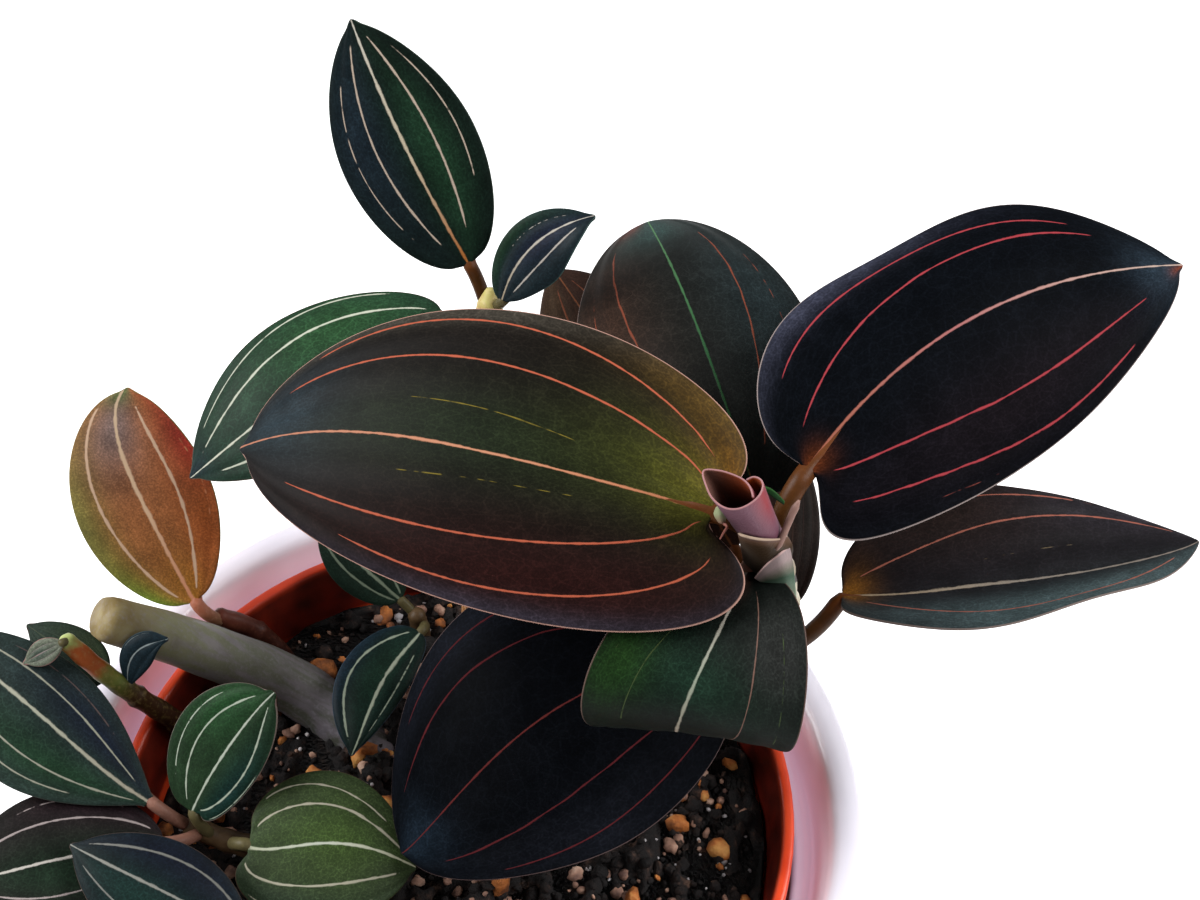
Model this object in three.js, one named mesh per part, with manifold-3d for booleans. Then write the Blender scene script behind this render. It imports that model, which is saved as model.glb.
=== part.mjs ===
// Jewel orchid (Ludisia discolor) growing in a nursery pot that stands in a glazed cover pot.
// Millimetres, +Z up, +X to the plant's right and +Y to its back.
// The origin is the centre of the cover pot's underside.
import * as THREE from "three";
import { mergeVertices } from "three/addons/utils/BufferGeometryUtils.js";
import Module from "manifold-3d";

const wasm = await Module();
wasm.setup();

// ---- Driving dimensions ----

const CLEARANCE = 0.3; // between pieces that touch
const POT_SEGMENTS = 40;

// Nursery pot: 120 mm across its rim.
const NURSERY_RIM_RADIUS = 60;
const NURSERY_TOP = 110;
const NURSERY_LIP_HEIGHT = 8;
const NURSERY_LIP_THICKNESS = 2;
const NURSERY_BASE_RADIUS = 44;
const NURSERY_WALL = 1.4;
const NURSERY_FLOOR = 2;
const NURSERY_LIP_STEP = 1.2; // how far the lip stands out from the wall below it
const DRAIN_HOLES = 6;
const DRAIN_HOLE_RADIUS = 4.5;
const DRAIN_RING_RADIUS = 28;

// Cover pot: glazed, with a broad rolled rim and a ledge below it inside.
const COVER_FLOOR = 3;
const COVER_WALL = 4;
const COVER_BASE_RADIUS = 51;
const COVER_RIM_RADIUS = 72.8;
const COVER_RIM_INNER_RADIUS = 66.6;
const COVER_TOP = 108.6;
const COVER_LEDGE_Z = 99.5;
const COVER_LEDGE_OUTER_RADIUS = 63.3;
const COVER_LEDGE_INNER_RADIUS = 60.6;

// Potting mix.
const MIX_LEVEL = 98.5; // at its middle
const MIX_DROP_LEFT = 2.5; // how much lower it lies at the left wall
const MIX_WALL_GAP = 0.5;
const MIX_EDGE_DEPTH = 4; // its surface is as wide as the pot is this far below its level
const MIX_RINGS = 14;
const CHUNKS = 150;
const CHUNK_RADIUS = [1.6, 3.4];
const CHUNK_RISE = 0.8; // share of a chunk's radius that stands out of the mix
const CHUNK_REACH = 0.97; // share of the surface's radius that holds chunks
const CHUNK_SEED = 11;

// Stems and leaves.
const STEM_SIDES = 8;
const STEM_STEPS = 3; // between two points of its path
const STEM_SWELL = 0.08; // share of its radius by which a stem swells at its joints
const BLADE = 0.8; // thickness of a blade
const STALK_WIDTH = [1.3, 3.6]; // on the smallest and the largest leaf
const LARGEST_WIDTH = 47;
const STALK_DEPTH = 0.72; // share of its width
const STALK_PLACES = [0, 0.3, 0.55, 0.8]; // cross-sections along a stalk
const BROAD_LEAF = 31; // wider leaves have the most cross-sections
const NARROW_LEAF = 16; // leaves up to this width have the fewest
const ROWS_TO_ENDS = 0.9; // 1 gathers the cross-sections most at a blade's ends, 0 spaces them evenly
const RIB_SHARE = { top: 0.1, under: 0.9 }; // how much of the midrib stands out on each face
const LOBE_START = 0.75; // share of the stalk's width outside which the round base reaches back

const vec = ([x, y, z]) => new THREE.Vector3(x, y, z);
const mix = THREE.MathUtils.lerp;

// ---- Shoots: the path of each stem from its foot in the mix, and its radius along it ----

const STEMS = {
  old_stem: {
    colour: 0x6d7764,
    path: [[-62, 27.2, 131], [-46, 30, 116], [-29, 30, 100.5], [-16, 20, 94.5], [-8, 11, 88]],
    radius: [4.1, 4.8, 5.3, 5.1, 4.6],
  },
  main_stem: {
    colour: 0xa8746a,
    path: [
      [41, 19, 84], [43, 18, 97], [49, 11, 135], [52.5, 8, 152], [54, 8, 165], [52.5, 5, 178],
      [50.7, 1.5, 190.5],
    ],
    radius: [3, 3, 3.1, 3.2, 3.2, 3, 2.3],
  },
  tall_stem: {
    colour: 0xb98a5c,
    path: [[3, 24, 84], [3, 27, 105], [5, 38, 150], [8, 52, 190]],
    radius: [2.6, 2.6, 2.4, 2.3],
  },
  low_stem: {
    colour: 0xa08060,
    path: [
      [-24, -6, 86], [-27, -6, 97], [-33, -4.2, 103], [-40, -3.2, 105.5], [-47.5, -1.5, 108.5],
    ],
    radius: [2.2, 2.2, 2.1, 2, 1.7],
  },
  rim_stem: {
    colour: 0xb07a55,
    path: [
      [-46, 20, 86], [-48, 20, 97], [-51, 19.5, 108], [-56.5, 18.3, 119], [-61.5, 19, 126], [-67.5, 21, 134],
    ],
    radius: [2, 2, 1.9, 1.8, 1.7, 1.6],
  },
  small_stem: {
    colour: 0x8f7a58,
    path: [[-8, 43, 84], [-8, 44, 96], [-9, 45, 106]],
    radius: [1.8, 1.8, 1.6],
  },
  back_stem: {
    colour: 0x9a6a58,
    path: [[-29, 34, 84], [-32, 37, 97], [-38, 38.5, 109], [-45, 37.5, 116]],
    radius: [1.8, 1.8, 1.8, 1.7],
  },
};

// ---- Leaves ----
// root: where the stalk leaves its stem; knee: the point that bends the stalk; base and tip: the
// ends of the blade. face: the way the upper side looks. Left and right are the leaf's own, seen
// from its base with the upper side up, and a pair of numbers is [left, right] or [base, tip].
// bow: how far the blade arches up near its base and its tip; sway: the same to the right. rise
// and bend place those two points of the midrib outright.
// halves: width of each half against half the width; cup: degrees that each half curls up;
// keel: degrees that both fold up; lobe: how far the round base reaches back; tuck: how fast
// that fades along the blade.
// widest: where along the midrib; round and point: how full the outline is before and after it.
// wave: how far the margin goes up and down; ruffle: the same in and out, as a share of the
// half's width; ripples and phase: how many waves along a margin, and where they start.

const LEAF_DEFAULTS = {
  bow: [0, 0], sway: [0, 0], halves: [1, 1], cup: [0, 0], keel: 0, lobe: [0, 0], tuck: [2, 2],
  widest: 0.48, round: 0.56, point: 0.66, wave: [0, 0], ruffle: [0, 0], ripples: 1, phase: 0,
};

const LEAVES = {
  left_leaf: {
    stem: "main_stem", colour: 0x2a1f1c, width: 47, root: [51.5, 4, 184], knee: [48, 4.4, 192.4],
    base: [42.4, 3.1, 196], tip: [-29, 21, 188], face: [-0.1, -0.45, 0.9], bow: [11, 13],
    sway: [2, 6], cup: [-22, -22], lobe: [26.5, 16], tuck: [1.7, 2], round: 0.5, point: 0.53,
  },
  right_leaf: {
    stem: "main_stem", colour: 0x14181f, width: 44, halves: [0.93, 1.03], root: [53, 3.5, 181],
    base: [56.8, 9.3, 198], tip: [117, 48, 200], face: [0, -0.5, 0.86], bow: [6, 9],
    sway: [-9, -9], cup: [-28, -14], lobe: [3, 19], tuck: [2, 8], widest: 0.42, round: 0.5,
    point: 0.62, wave: [1.4, 0.4], ruffle: [0.1, 0.02], ripples: 1.4, phase: 0.13,
  },
  front_leaf: {
    stem: "main_stem", colour: 0x1b2b25, width: 34, halves: [0.95, 0.99], root: [53, 5.5, 174],
    base: [48, 1, 183], tip: [38.5, -5, 156], rise: [44, -15, 190], bend: [35, -31, 171],
    face: [-0.2, -0.5, 0.83], cup: [4, 4], lobe: [8, 8], widest: 0.57, round: 0.5, point: 0.62,
  },
  low_right_leaf: {
    stem: "main_stem", colour: 0x1a2024, width: 36, halves: [1.16, 0.63], root: [51.8, 9, 147],
    knee: [59.5, 5.5, 154], base: [65, 11.4, 161], tip: [126, 26, 155.5], face: [0, 0.2, 0.98],
    bow: [2, 3], sway: [8, 6], cup: [8, 4], keel: 12, lobe: [4, 3], widest: 0.4, round: 0.6,
    point: 0.75, ruffle: [-0.08, -0.1], wave: [0.8, 0.6], ripples: 1.5, phase: 0.3,
  },
  back_leaf: {
    stem: "main_stem", colour: 0x231c18, width: 38, halves: [1.1, 0.94], root: [53.5, 7, 170],
    base: [50, 13, 186], tip: [34, 72, 184], face: [0, -0.5, 0.85], bow: [10, 21],
    cup: [-20, -20], lobe: [6, 6], point: 0.48,
  },
  inner_back_leaf: {
    stem: "main_stem", colour: 0x33211a, width: 28, root: [54, 8, 164], base: [47, 14, 171],
    tip: [18, 70, 174], face: [0, -0.5, 0.85], bow: [6, 9], cup: [-10, -10], lobe: [3, 3],
  },
  hidden_leaf: {
    stem: "main_stem", colour: 0x3a241c, width: 11, root: [52.3, 8.5, 150], base: [56.5, 15, 153],
    tip: [58.5, 52, 152], face: [0.3, -0.5, 0.8], bow: [3, 4], cup: [-10, -10], lobe: [2, 2],
  },
  low_front_leaf: {
    stem: "main_stem", colour: 0x12171c, width: 47, halves: [1, 1.1], root: [48.3, 11.8, 131],
    base: [45, 14, 138], tip: [-8, -9.5, 113.5], face: [0, -0.45, 0.9], bow: [9, 16],
    sway: [6, 6], cup: [-15, -22], lobe: [8, 8], round: 0.5, point: 0.54,
  },
  upright_leaf: {
    stem: "tall_stem", colour: 0x17261f, width: 23, root: [7.4, 51, 186],
    knee: [6.1, 54.4, 189.5], base: [4.5, 55, 193], tip: [-13.5, 80, 222],
    face: [-0.1, -0.75, 0.65], bow: [1, 2], sway: [-1, -1], cup: [-10, -10], lobe: [2, 2],
  },
  small_tall_leaf: {
    stem: "tall_stem", colour: 0x1c2622, width: 11.5, halves: [0.8, 1.15], root: [8, 51.5, 187],
    knee: [9.6, 49.6, 188.5], base: [10.1, 48.8, 191], tip: [24.4, 55.7, 203],
    face: [-0.3, -0.5, 0.8], bow: [1, 3], sway: [-4, -3], cup: [10, -10], lobe: [1, 1],
  },
  left_tall_leaf: {
    stem: "tall_stem", colour: 0x20382a, width: 27, root: [6.5, 47, 176], base: [1, 49.5, 185.5],
    tip: [-40, 28, 172], face: [-0.2, -0.3, 0.93], bow: [7, 11], cup: [-10, -15], lobe: [4, 4],
  },
  red_leaf: {
    stem: "back_stem", colour: 0x8a4a30, width: 26, halves: [1.08, 0.95], root: [-44, 37, 115],
    base: [-48, 38, 120], tip: [-58.5, 62.8, 150], face: [-0.1, -0.75, 0.65], bow: [0, 2],
    sway: [-3.4, -3.6], cup: [-8, -8], lobe: [2, 2], widest: 0.5, point: 0.5,
  },
  outer_leaf: {
    stem: "low_stem", colour: 0x1b2c28, width: 23, halves: [1.2, 0.83], root: [-47, -1.6, 108.3],
    base: [-52.5, -0.8, 115.6], tip: [-87.3, 23, 132], face: [0, -0.4, 0.9], bow: [2.5, 4.5],
    cup: [6, -15], widest: 0.52, round: 0.8,
  },
  low_left_leaf: {
    stem: "low_stem", colour: 0x24261f, width: 23, root: [-44.5, -2.3, 107.2],
    base: [-50.2, -6.8, 111.3], tip: [-83, -16, 115], face: [0, -0.3, 0.95], bow: [1.5, 3.5],
    sway: [1.5, 2.2], cup: [10, -24], lobe: [2, 0],
  },
  near_leaf: {
    stem: "low_stem", colour: 0x18282a, width: 18.5, halves: [1, 1.12], root: [-31, -4.8, 101.2],
    knee: [-31, -22, 106], base: [-36, -26, 110], tip: [-63.5, -11.7, 119], face: [0, -0.3, 0.95],
    bow: [2, 4], cup: [-8, -8], lobe: [2, 2], widest: 0.44,
  },
  small_upright_leaf: {
    stem: "low_stem", colour: 0x22402c, width: 19, halves: [1.06, 0.78], root: [-42, -2.9, 106.2],
    knee: [-44.3, -3.2, 110], base: [-45.2, -1.7, 113.5], tip: [-30.8, 11.6, 130],
    face: [-0.2, -0.6, 0.8], bow: [0, 2], sway: [-1.8, -1.5], cup: [-8, -8], lobe: [2.5, 6.5],
    widest: 0.52, round: 0.5, point: 0.5,
  },
  round_leaf: {
    stem: "low_stem", colour: 0x3b4a2c, width: 25, halves: [1.18, 1], root: [-38, -3.5, 104.8],
    base: [-35, -7.5, 112], tip: [-7, -10, 108.5], face: [0, -0.3, 0.95], bow: [2, 5],
    cup: [-12, -12], lobe: [4, 8], round: 0.5, point: 0.56,
  },
  pale_rim_leaf: {
    stem: "rim_stem", colour: 0x9aa884, width: 4.6, root: [-66.7, 20.7, 133],
    base: [-67.4, 19.6, 134.2], tip: [-73.6, 17.9, 131], face: [0, -0.5, 0.85], bow: [0.6, 0.9],
    cup: [5, 5],
  },
  dark_rim_leaf: {
    stem: "rim_stem", colour: 0x2a3c30, width: 11.5, halves: [0.8, 0.92], root: [-60, 18.8, 124],
    base: [-62.1, 20.3, 121.5], tip: [-75.7, 28.9, 125], face: [0, -0.4, 0.9], bow: [1, 1],
    cup: [-5, -5], widest: 0.4, point: 0.58,
  },
  inner_rim_leaf: {
    stem: "rim_stem", colour: 0x2a3a3e, width: 8, halves: [0.84, 0.66], root: [-58, 18.5, 121.3],
    base: [-57.2, 18.6, 122.8], tip: [-50.6, 23.3, 129.7], face: [0, -0.4, 0.9], bow: [1.5, 1.5],
    sway: [-1.4, -2.6], cup: [-5, -5], round: 0.8, point: 0.56,
  },
  small_back_leaf: {
    stem: "small_stem", colour: 0x2a3c2e, width: 13, halves: [0.88, 1], root: [-9, 45, 104],
    base: [-12, 47, 107], tip: [-26.5, 55, 119], face: [-0.1, -0.5, 0.85], bow: [1, 2],
    cup: [-8, -8], lobe: [1, 1],
  },
  small_front_leaf: {
    stem: "small_stem", colour: 0x1f3430, width: 14.5, halves: [0.66, 1.12],
    root: [-8.6, 44.6, 101], base: [-8, 40, 106], tip: [-19.2, 15.6, 104], face: [0, -0.3, 0.95],
    bow: [2, 4], sway: [1.8, 1.6], cup: [-8, -8], lobe: [2, 1.5], round: 0.5,
  },
};

// The rolled new leaf at the top of the main stem.
const ROLLED = {
  foot: [50.9, 0.9, 190.8],
  mouth: [45.3, -1.4, 207.3],
  beak: [-1, 0.1, 0.2], // the way its point leans
  footRadius: 2.1,
  mouthRadius: 4,
  beakLength: 3.5,
  flare: 0.8, // under 1 opens early
  sunk: 0.06, // share of its length below its foot
  hollowFoot: 0.4, // share of its length at which the hollow ends
  sides: 12,
};

// ---- Solids ----

function skin(rings, mirrored = () => false) {
  // A closed surface over rings of points; a ring of one point is a pole. Where mirrored(j) is
  // true, the quads of column j are split along their other diagonal.
  const starts = [];
  const points = [];
  for (const ring of rings) {
    starts.push(points.length);
    points.push(...ring);
  }
  const faces = [];
  for (let i = 0; i + 1 < rings.length; i++) {
    const near = rings[i].length;
    const far = rings[i + 1].length;
    const count = Math.max(near, far);
    for (let j = 0; j < count; j++) {
      const k = (j + 1) % count;
      const a = starts[i] + (near > 1 ? j : 0);
      const b = starts[i] + (near > 1 ? k : 0);
      const c = starts[i + 1] + (far > 1 ? k : 0);
      const d = starts[i + 1] + (far > 1 ? j : 0);
      if (near === 1) {
        faces.push(a, c, d);
      } else if (far === 1) {
        faces.push(a, b, c);
      } else if (mirrored(j)) {
        faces.push(a, b, d, b, c, d);
      } else {
        faces.push(a, b, c, a, c, d);
      }
    }
  }
  return new THREE.BufferGeometry().setFromPoints(points).setIndex(faces);
}

function solidOf(geometry) {
  const plain = geometry.clone();
  plain.deleteAttribute("normal");
  plain.deleteAttribute("uv");
  const merged = mergeVertices(plain, 1e-4);
  return new wasm.Manifold(new wasm.Mesh({
    numProp: 3,
    vertProperties: merged.attributes.position.array,
    triVerts: new Uint32Array(merged.index.array),
  }));
}

function geometryOf(solid) {
  const mesh = solid.getMesh();
  const positions = new THREE.BufferAttribute(new Float32Array(mesh.vertProperties), 3);
  const geometry = new THREE.BufferGeometry().setAttribute("position", positions);
  geometry.setIndex(new THREE.BufferAttribute(mesh.triVerts, 1));
  geometry.computeVertexNormals();
  return geometry;
}

function largestBody(solid) {
  const bodies = solid.decompose();
  return bodies.reduce((best, body) => (body.volume() > best.volume() ? body : best));
}

function revolve(profile) {
  // Turns an (radius, height) outline about the vertical axis.
  const points = profile.map(([r, z]) => new THREE.Vector2(r, z));
  return new THREE.LatheGeometry(points, POT_SEGMENTS).rotateX(Math.PI / 2);
}

function stemSolid({ path, radius }, grow = 0) {
  // A round stem along its path, swollen a little at its joints; grow widens and lengthens it.
  const curve = new THREE.CatmullRomCurve3(path.map(vec), false, "centripetal");
  const steps = (path.length - 1) * STEM_STEPS;
  let across = new THREE.Vector3(1, 0, 0);
  const sections = Array.from({ length: steps + 1 }, (_, i) => {
    const place = (i / steps) * (radius.length - 1);
    const low = Math.min(Math.floor(place), radius.length - 2);
    const swell = 1 + STEM_SWELL * Math.cos(2 * Math.PI * place) ** 2;
    const forward = curve.getTangent(i / steps);
    across = across.clone().addScaledVector(forward, -across.dot(forward)).normalize();
    return {
      centre: curve.getPoint(i / steps),
      forward,
      across,
      up: forward.clone().cross(across),
      size: mix(radius[low], radius[low + 1], place - low) * swell + grow,
    };
  });
  const first = sections[0];
  const last = sections[steps];
  first.centre.addScaledVector(first.forward, -grow);
  last.centre.addScaledVector(last.forward, grow);
  const rings = sections.map((section) => Array.from({ length: STEM_SIDES }, (_, j) => {
    const angle = (2 * Math.PI * j) / STEM_SIDES;
    return section.centre.clone()
      .addScaledVector(section.across, section.size * Math.cos(angle))
      .addScaledVector(section.up, section.size * Math.sin(angle));
  }));
  return solidOf(skin([[first.centre], ...rings, [last.centre]]));
}

function spine(leaf) {
  // The stalk's curve, the blade's midrib and the way that the leaf's right-hand side lies.
  const root = vec(leaf.root);
  const base = vec(leaf.base);
  const tip = vec(leaf.tip);
  const face = vec(leaf.face).normalize();
  const chord = tip.clone().sub(base);
  const toRight = chord.clone().cross(face).normalize();
  const arched = (share, bow, sway) => base.clone().addScaledVector(chord, share)
    .addScaledVector(face, bow).addScaledVector(toRight, sway);
  const rise = leaf.rise ? vec(leaf.rise) : arched(1 / 3, leaf.bow[0], leaf.sway[0]);
  const bend = leaf.bend ? vec(leaf.bend) : arched(2 / 3, leaf.bow[1], leaf.sway[1]);
  const blade = new THREE.CubicBezierCurve3(base, rise, bend, tip);
  const start = blade.getTangent(0);
  const straight = base.clone().addScaledVector(start, -0.5 * root.distanceTo(base));
  const stalk = new THREE.QuadraticBezierCurve3(root, leaf.knee ? vec(leaf.knee) : straight, base);
  return { stalk, blade, side: start.clone().cross(face).normalize() };
}

function halfShape(leaf, t, stalkWidth) {
  // The outline at t along the blade: how far the leaf spreads there, and half its width.
  const power = t < leaf.widest ? leaf.round : leaf.point;
  const spread = Math.sin(Math.PI * t ** (Math.log(0.5) / Math.log(leaf.widest))) ** power;
  const bladeHalf = t > 0 ? (leaf.width / 2) * spread : 0;
  const stalkHalf = (stalkWidth / 2) * (1 - t) ** 3;
  return { spread, half: Math.hypot(bladeHalf, stalkHalf) };
}

function acrossLeaf(leaf, s, t, { spread, half }, stalkWidth) {
  // Where the blade lies at s across it, from -1 on its left margin to 1 on its right, as its
  // distances to the right, up and back from the midrib, and its slope there.
  const hand = s < 0 ? 0 : 1;
  const turn = THREE.MathUtils.degToRad(leaf.cup[hand]) * spread;
  const fold = THREE.MathUtils.degToRad(leaf.keel) * spread;
  const bent = Math.abs(turn * s);
  const out = turn ? Math.sin(bent) / Math.abs(turn) : Math.abs(s);
  const lift = turn ? (1 - Math.cos(bent)) / turn : 0;
  const ripple = s ** 2 * spread * Math.sin(2 * Math.PI * (leaf.ripples * t + leaf.phase));
  const reach = half * leaf.halves[hand] * (1 + leaf.ruffle[hand] * ripple);
  const outsideStalk = Math.max(0, Math.abs(s) - (LOBE_START * stalkWidth) / half);
  return {
    right: reach * (out * Math.cos(fold) - lift * Math.sin(fold)) * Math.sign(s),
    up: half * (out * Math.sin(fold) + lift * Math.cos(fold)) + leaf.wave[hand] * ripple,
    back: leaf.lobe[hand] * Math.sqrt(spread) * (1 - t) ** leaf.tuck[hand] * outsideStalk,
    slope: (bent * Math.sign(turn) + fold) * Math.sign(s),
  };
}

function leafGeometry(options) {
  // A leaf as one closed skin over cross-sections of its stalk and its blade.
  const leaf = { ...LEAF_DEFAULTS, ...options };
  const bladeRows = bladeRowsFor(leaf.width);
  const columns = leaf.width > NARROW_LEAF ? 6 : 4;
  const stalkWidth = mix(...STALK_WIDTH, leaf.width / LARGEST_WIDTH);
  const { stalk, blade, side: firstSide } = spine(leaf);
  const rows = STALK_PLACES.map((u) => ({ curve: stalk, u, t: 0 }));
  for (let i = 0; i < bladeRows; i++) {
    const even = i / bladeRows;
    const t = mix(even, (1 - Math.cos(Math.PI * even)) / 2, ROWS_TO_ENDS);
    rows.push({ curve: blade, u: t, t });
  }
  const places = Array.from({ length: columns + 1 }, (_, j) => (2 * j) / columns - 1);

  const rings = rows.map(({ curve, u, t }) => {
    const centre = curve.getPoint(u);
    const forward = curve.getTangent(u);
    const side = firstSide.clone().addScaledVector(forward, -firstSide.dot(forward)).normalize();
    const up = side.clone().cross(forward);
    const outline = halfShape(leaf, t, stalkWidth);
    const ribDepth = Math.max(0, STALK_DEPTH * stalkWidth - BLADE) * (1 - t) ** 2;
    const surface = (s, layer) => {
      const at = acrossLeaf(leaf, s, t, outline, stalkWidth);
      const inRib = Math.min(1, (Math.abs(s) * outline.half) / (stalkWidth / 2));
      const rib = ribDepth * Math.sqrt(1 - inRib ** 2) * (t > 0 ? RIB_SHARE[layer] : 0.5);
      const offset = (BLADE / 2 + rib) * (layer === "top" ? 1 : -1);
      const normal = up.clone().multiplyScalar(Math.cos(at.slope))
        .addScaledVector(side, -Math.sin(at.slope));
      return centre.clone().addScaledVector(side, at.right).addScaledVector(up, at.up)
        .addScaledVector(forward, -at.back).addScaledVector(normal, offset);
    };
    const top = places.map((s) => surface(s, "top"));
    const under = places.toReversed().map((s) => surface(s, "under"));
    return [...top, ...under];
  });
  const isUnder = (j) => j > columns && j < 2 * columns + 1;
  return skin([[vec(leaf.root)], ...rings, [vec(leaf.tip)]], isUnder);
}

function bladeRowsFor(width) {
  if (width > BROAD_LEAF) return 12;
  return width > NARROW_LEAF ? 10 : 7;
}

function rolledLeaf() {
  // The youngest leaf, still rolled into a pointed horn with an open mouth.
  const foot = vec(ROLLED.foot);
  const forward = vec(ROLLED.mouth).sub(foot);
  const length = forward.length();
  forward.normalize();
  const beak = vec(ROLLED.beak).normalize();
  beak.addScaledVector(forward, -beak.dot(forward)).normalize();
  const side = forward.clone().cross(beak);
  const alongAxis = (share) => foot.clone().addScaledVector(forward, length * share);
  const ringAt = (share, inset) => Array.from({ length: ROLLED.sides }, (_, j) => {
    const angle = (2 * Math.PI * j) / ROLLED.sides;
    const radius = mix(ROLLED.footRadius, ROLLED.mouthRadius, share ** ROLLED.flare) - inset;
    const rim = ROLLED.beakLength * Math.max(0, Math.cos(angle)) ** 3 * share ** 2;
    return alongAxis(share).addScaledVector(forward, rim)
      .addScaledVector(beak, radius * Math.cos(angle) + rim / 2)
      .addScaledVector(side, radius * Math.sin(angle));
  });
  const outside = [0, 0.25, 0.5, 0.75, 1].map((share) => ringAt(share, 0));
  const inside = [1, 0.75, 0.5].map((share) => ringAt(share, BLADE));
  return skin([[alongAxis(-ROLLED.sunk)], ...outside, ...inside, [alongAxis(ROLLED.hollowFoot)]]);
}

// ---- Pots and potting mix ----

function coverPot() {
  const wallInside = COVER_BASE_RADIUS - COVER_WALL;
  return revolve([
    [0, 0],
    [COVER_BASE_RADIUS - 1.5, 0],
    [COVER_BASE_RADIUS, 1.5],
    [COVER_RIM_RADIUS - 2.6, COVER_TOP - 9],
    [COVER_RIM_RADIUS - 0.4, COVER_TOP - 7],
    [COVER_RIM_RADIUS, COVER_TOP - 4],
    [COVER_RIM_RADIUS - 1.4, COVER_TOP - 1.2],
    [COVER_RIM_RADIUS - 4, COVER_TOP],
    [COVER_RIM_INNER_RADIUS, COVER_TOP - 0.9],
    [COVER_LEDGE_OUTER_RADIUS, COVER_LEDGE_Z],
    [COVER_LEDGE_INNER_RADIUS, COVER_LEDGE_Z - 1],
    [wallInside, COVER_FLOOR],
    [0, COVER_FLOOR],
  ]);
}

const NURSERY_FOOT = COVER_FLOOR + CLEARANCE;
const NURSERY_LIP_FOOT = NURSERY_TOP - NURSERY_LIP_HEIGHT;
const NURSERY_WALL_TOP_RADIUS = NURSERY_RIM_RADIUS - NURSERY_LIP_THICKNESS - 0.4;

function nurseryPot() {
  const innerFloor = NURSERY_FOOT + NURSERY_FLOOR;
  const shell = solidOf(revolve([
    [0, NURSERY_FOOT],
    [NURSERY_BASE_RADIUS - 1, NURSERY_FOOT],
    [NURSERY_BASE_RADIUS, NURSERY_FOOT + 1],
    [NURSERY_WALL_TOP_RADIUS, NURSERY_LIP_FOOT],
    [NURSERY_RIM_RADIUS - 0.4, NURSERY_LIP_FOOT + 0.6],
    [NURSERY_RIM_RADIUS, NURSERY_TOP - 0.7],
    [NURSERY_RIM_RADIUS - 1, NURSERY_TOP],
    [NURSERY_RIM_RADIUS - NURSERY_LIP_THICKNESS, NURSERY_TOP - 0.5],
    [NURSERY_WALL_TOP_RADIUS - NURSERY_WALL, NURSERY_LIP_FOOT],
    [NURSERY_BASE_RADIUS - NURSERY_WALL, innerFloor],
    [0, innerFloor],
  ]));
  const holes = Array.from({ length: DRAIN_HOLES }, (_, i) => {
    const angle = (2 * Math.PI * i) / DRAIN_HOLES;
    const depth = 4 * NURSERY_FLOOR;
    return solidOf(new THREE.CylinderGeometry(DRAIN_HOLE_RADIUS, DRAIN_HOLE_RADIUS, depth, 12)
      .rotateX(Math.PI / 2)
      .translate(DRAIN_RING_RADIUS * Math.cos(angle), DRAIN_RING_RADIUS * Math.sin(angle), NURSERY_FOOT));
  });
  return holes.reduce((pot, hole) => pot.subtract(hole), shell);
}

function seeded(seed) {
  let state = seed;
  return () => {
    state = (state * 1664525 + 1013904223) % 4294967296;
    return state / 4294967296;
  };
}

function pottingMix() {
  // Fills the nursery pot; chunks of bark and grit stand out of its top.
  const draw = seeded(CHUNK_SEED);
  const foot = NURSERY_FOOT + NURSERY_FLOOR + CLEARANCE;
  const wallFoot = NURSERY_BASE_RADIUS - NURSERY_WALL - MIX_WALL_GAP;
  const wallTop = NURSERY_WALL_TOP_RADIUS - NURSERY_WALL - MIX_WALL_GAP;
  const inside = (z) => mix(wallFoot, wallTop, (z - foot) / (NURSERY_LIP_FOOT - foot));
  const surfaceRadius = inside(MIX_LEVEL - MIX_EDGE_DEPTH);
  const chunks = Array.from({ length: CHUNKS }, () => {
    const angle = 2 * Math.PI * draw();
    const distance = surfaceRadius * Math.sqrt(draw()) * CHUNK_REACH;
    const size = mix(...CHUNK_RADIUS, draw() ** 2);
    return { x: distance * Math.cos(angle), y: distance * Math.sin(angle), size };
  });
  const heightAt = (x, y) => {
    const bumps = chunks.map((chunk) => {
      const away = Math.min(1, Math.hypot(x - chunk.x, y - chunk.y) / chunk.size);
      return chunk.size * CHUNK_RISE * Math.sqrt(1 - away ** 2);
    });
    return MIX_LEVEL + MIX_DROP_LEFT * Math.min(0, x / surfaceRadius) + Math.max(...bumps);
  };
  const ringAt = (radius, heightOf) => Array.from({ length: POT_SEGMENTS }, (_, j) => {
    const angle = (2 * Math.PI * j) / POT_SEGMENTS;
    const x = radius * Math.cos(angle);
    const y = radius * Math.sin(angle);
    return new THREE.Vector3(x, y, heightOf(x, y));
  });
  const rings = [[new THREE.Vector3(0, 0, foot)], ringAt(inside(foot), () => foot)];
  for (let i = MIX_RINGS; i > 0; i--) {
    rings.push(ringAt((surfaceRadius * i) / MIX_RINGS, heightAt));
  }
  rings.push([new THREE.Vector3(0, 0, heightAt(0, 0))]);
  return solidOf(skin(rings));
}

// ---- The potted plant ----

const pottedPlant = new THREE.Group();
const pots = new THREE.Group();
const shoots = new THREE.Group();
const foliage = new THREE.Group();
pottedPlant.add(pots, shoots, foliage);

function addTo(group, name, geometry, colour, roughness) {
  const material = new THREE.MeshStandardMaterial({ color: colour, roughness, metalness: 0 });
  const mesh = new THREE.Mesh(geometry, material);
  mesh.name = name;
  group.add(mesh);
}

const GLAZE = { colour: 0xf2eef2, roughness: 0.15 };
const TERRACOTTA_PLASTIC = { colour: 0xd84a22, roughness: 0.4 };
const HUMUS = { colour: 0x2a1d17, roughness: 0.95 };
const ROLLED_COLOUR = 0x8a5a66;
const STEM_ROUGHNESS = 0.45;
const LEAF_ROUGHNESS = 0.6;

const stemHoles = Object.fromEntries(
  Object.entries(STEMS).map(([name, stem]) => [name, stemSolid(stem, CLEARANCE)]),
);

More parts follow.
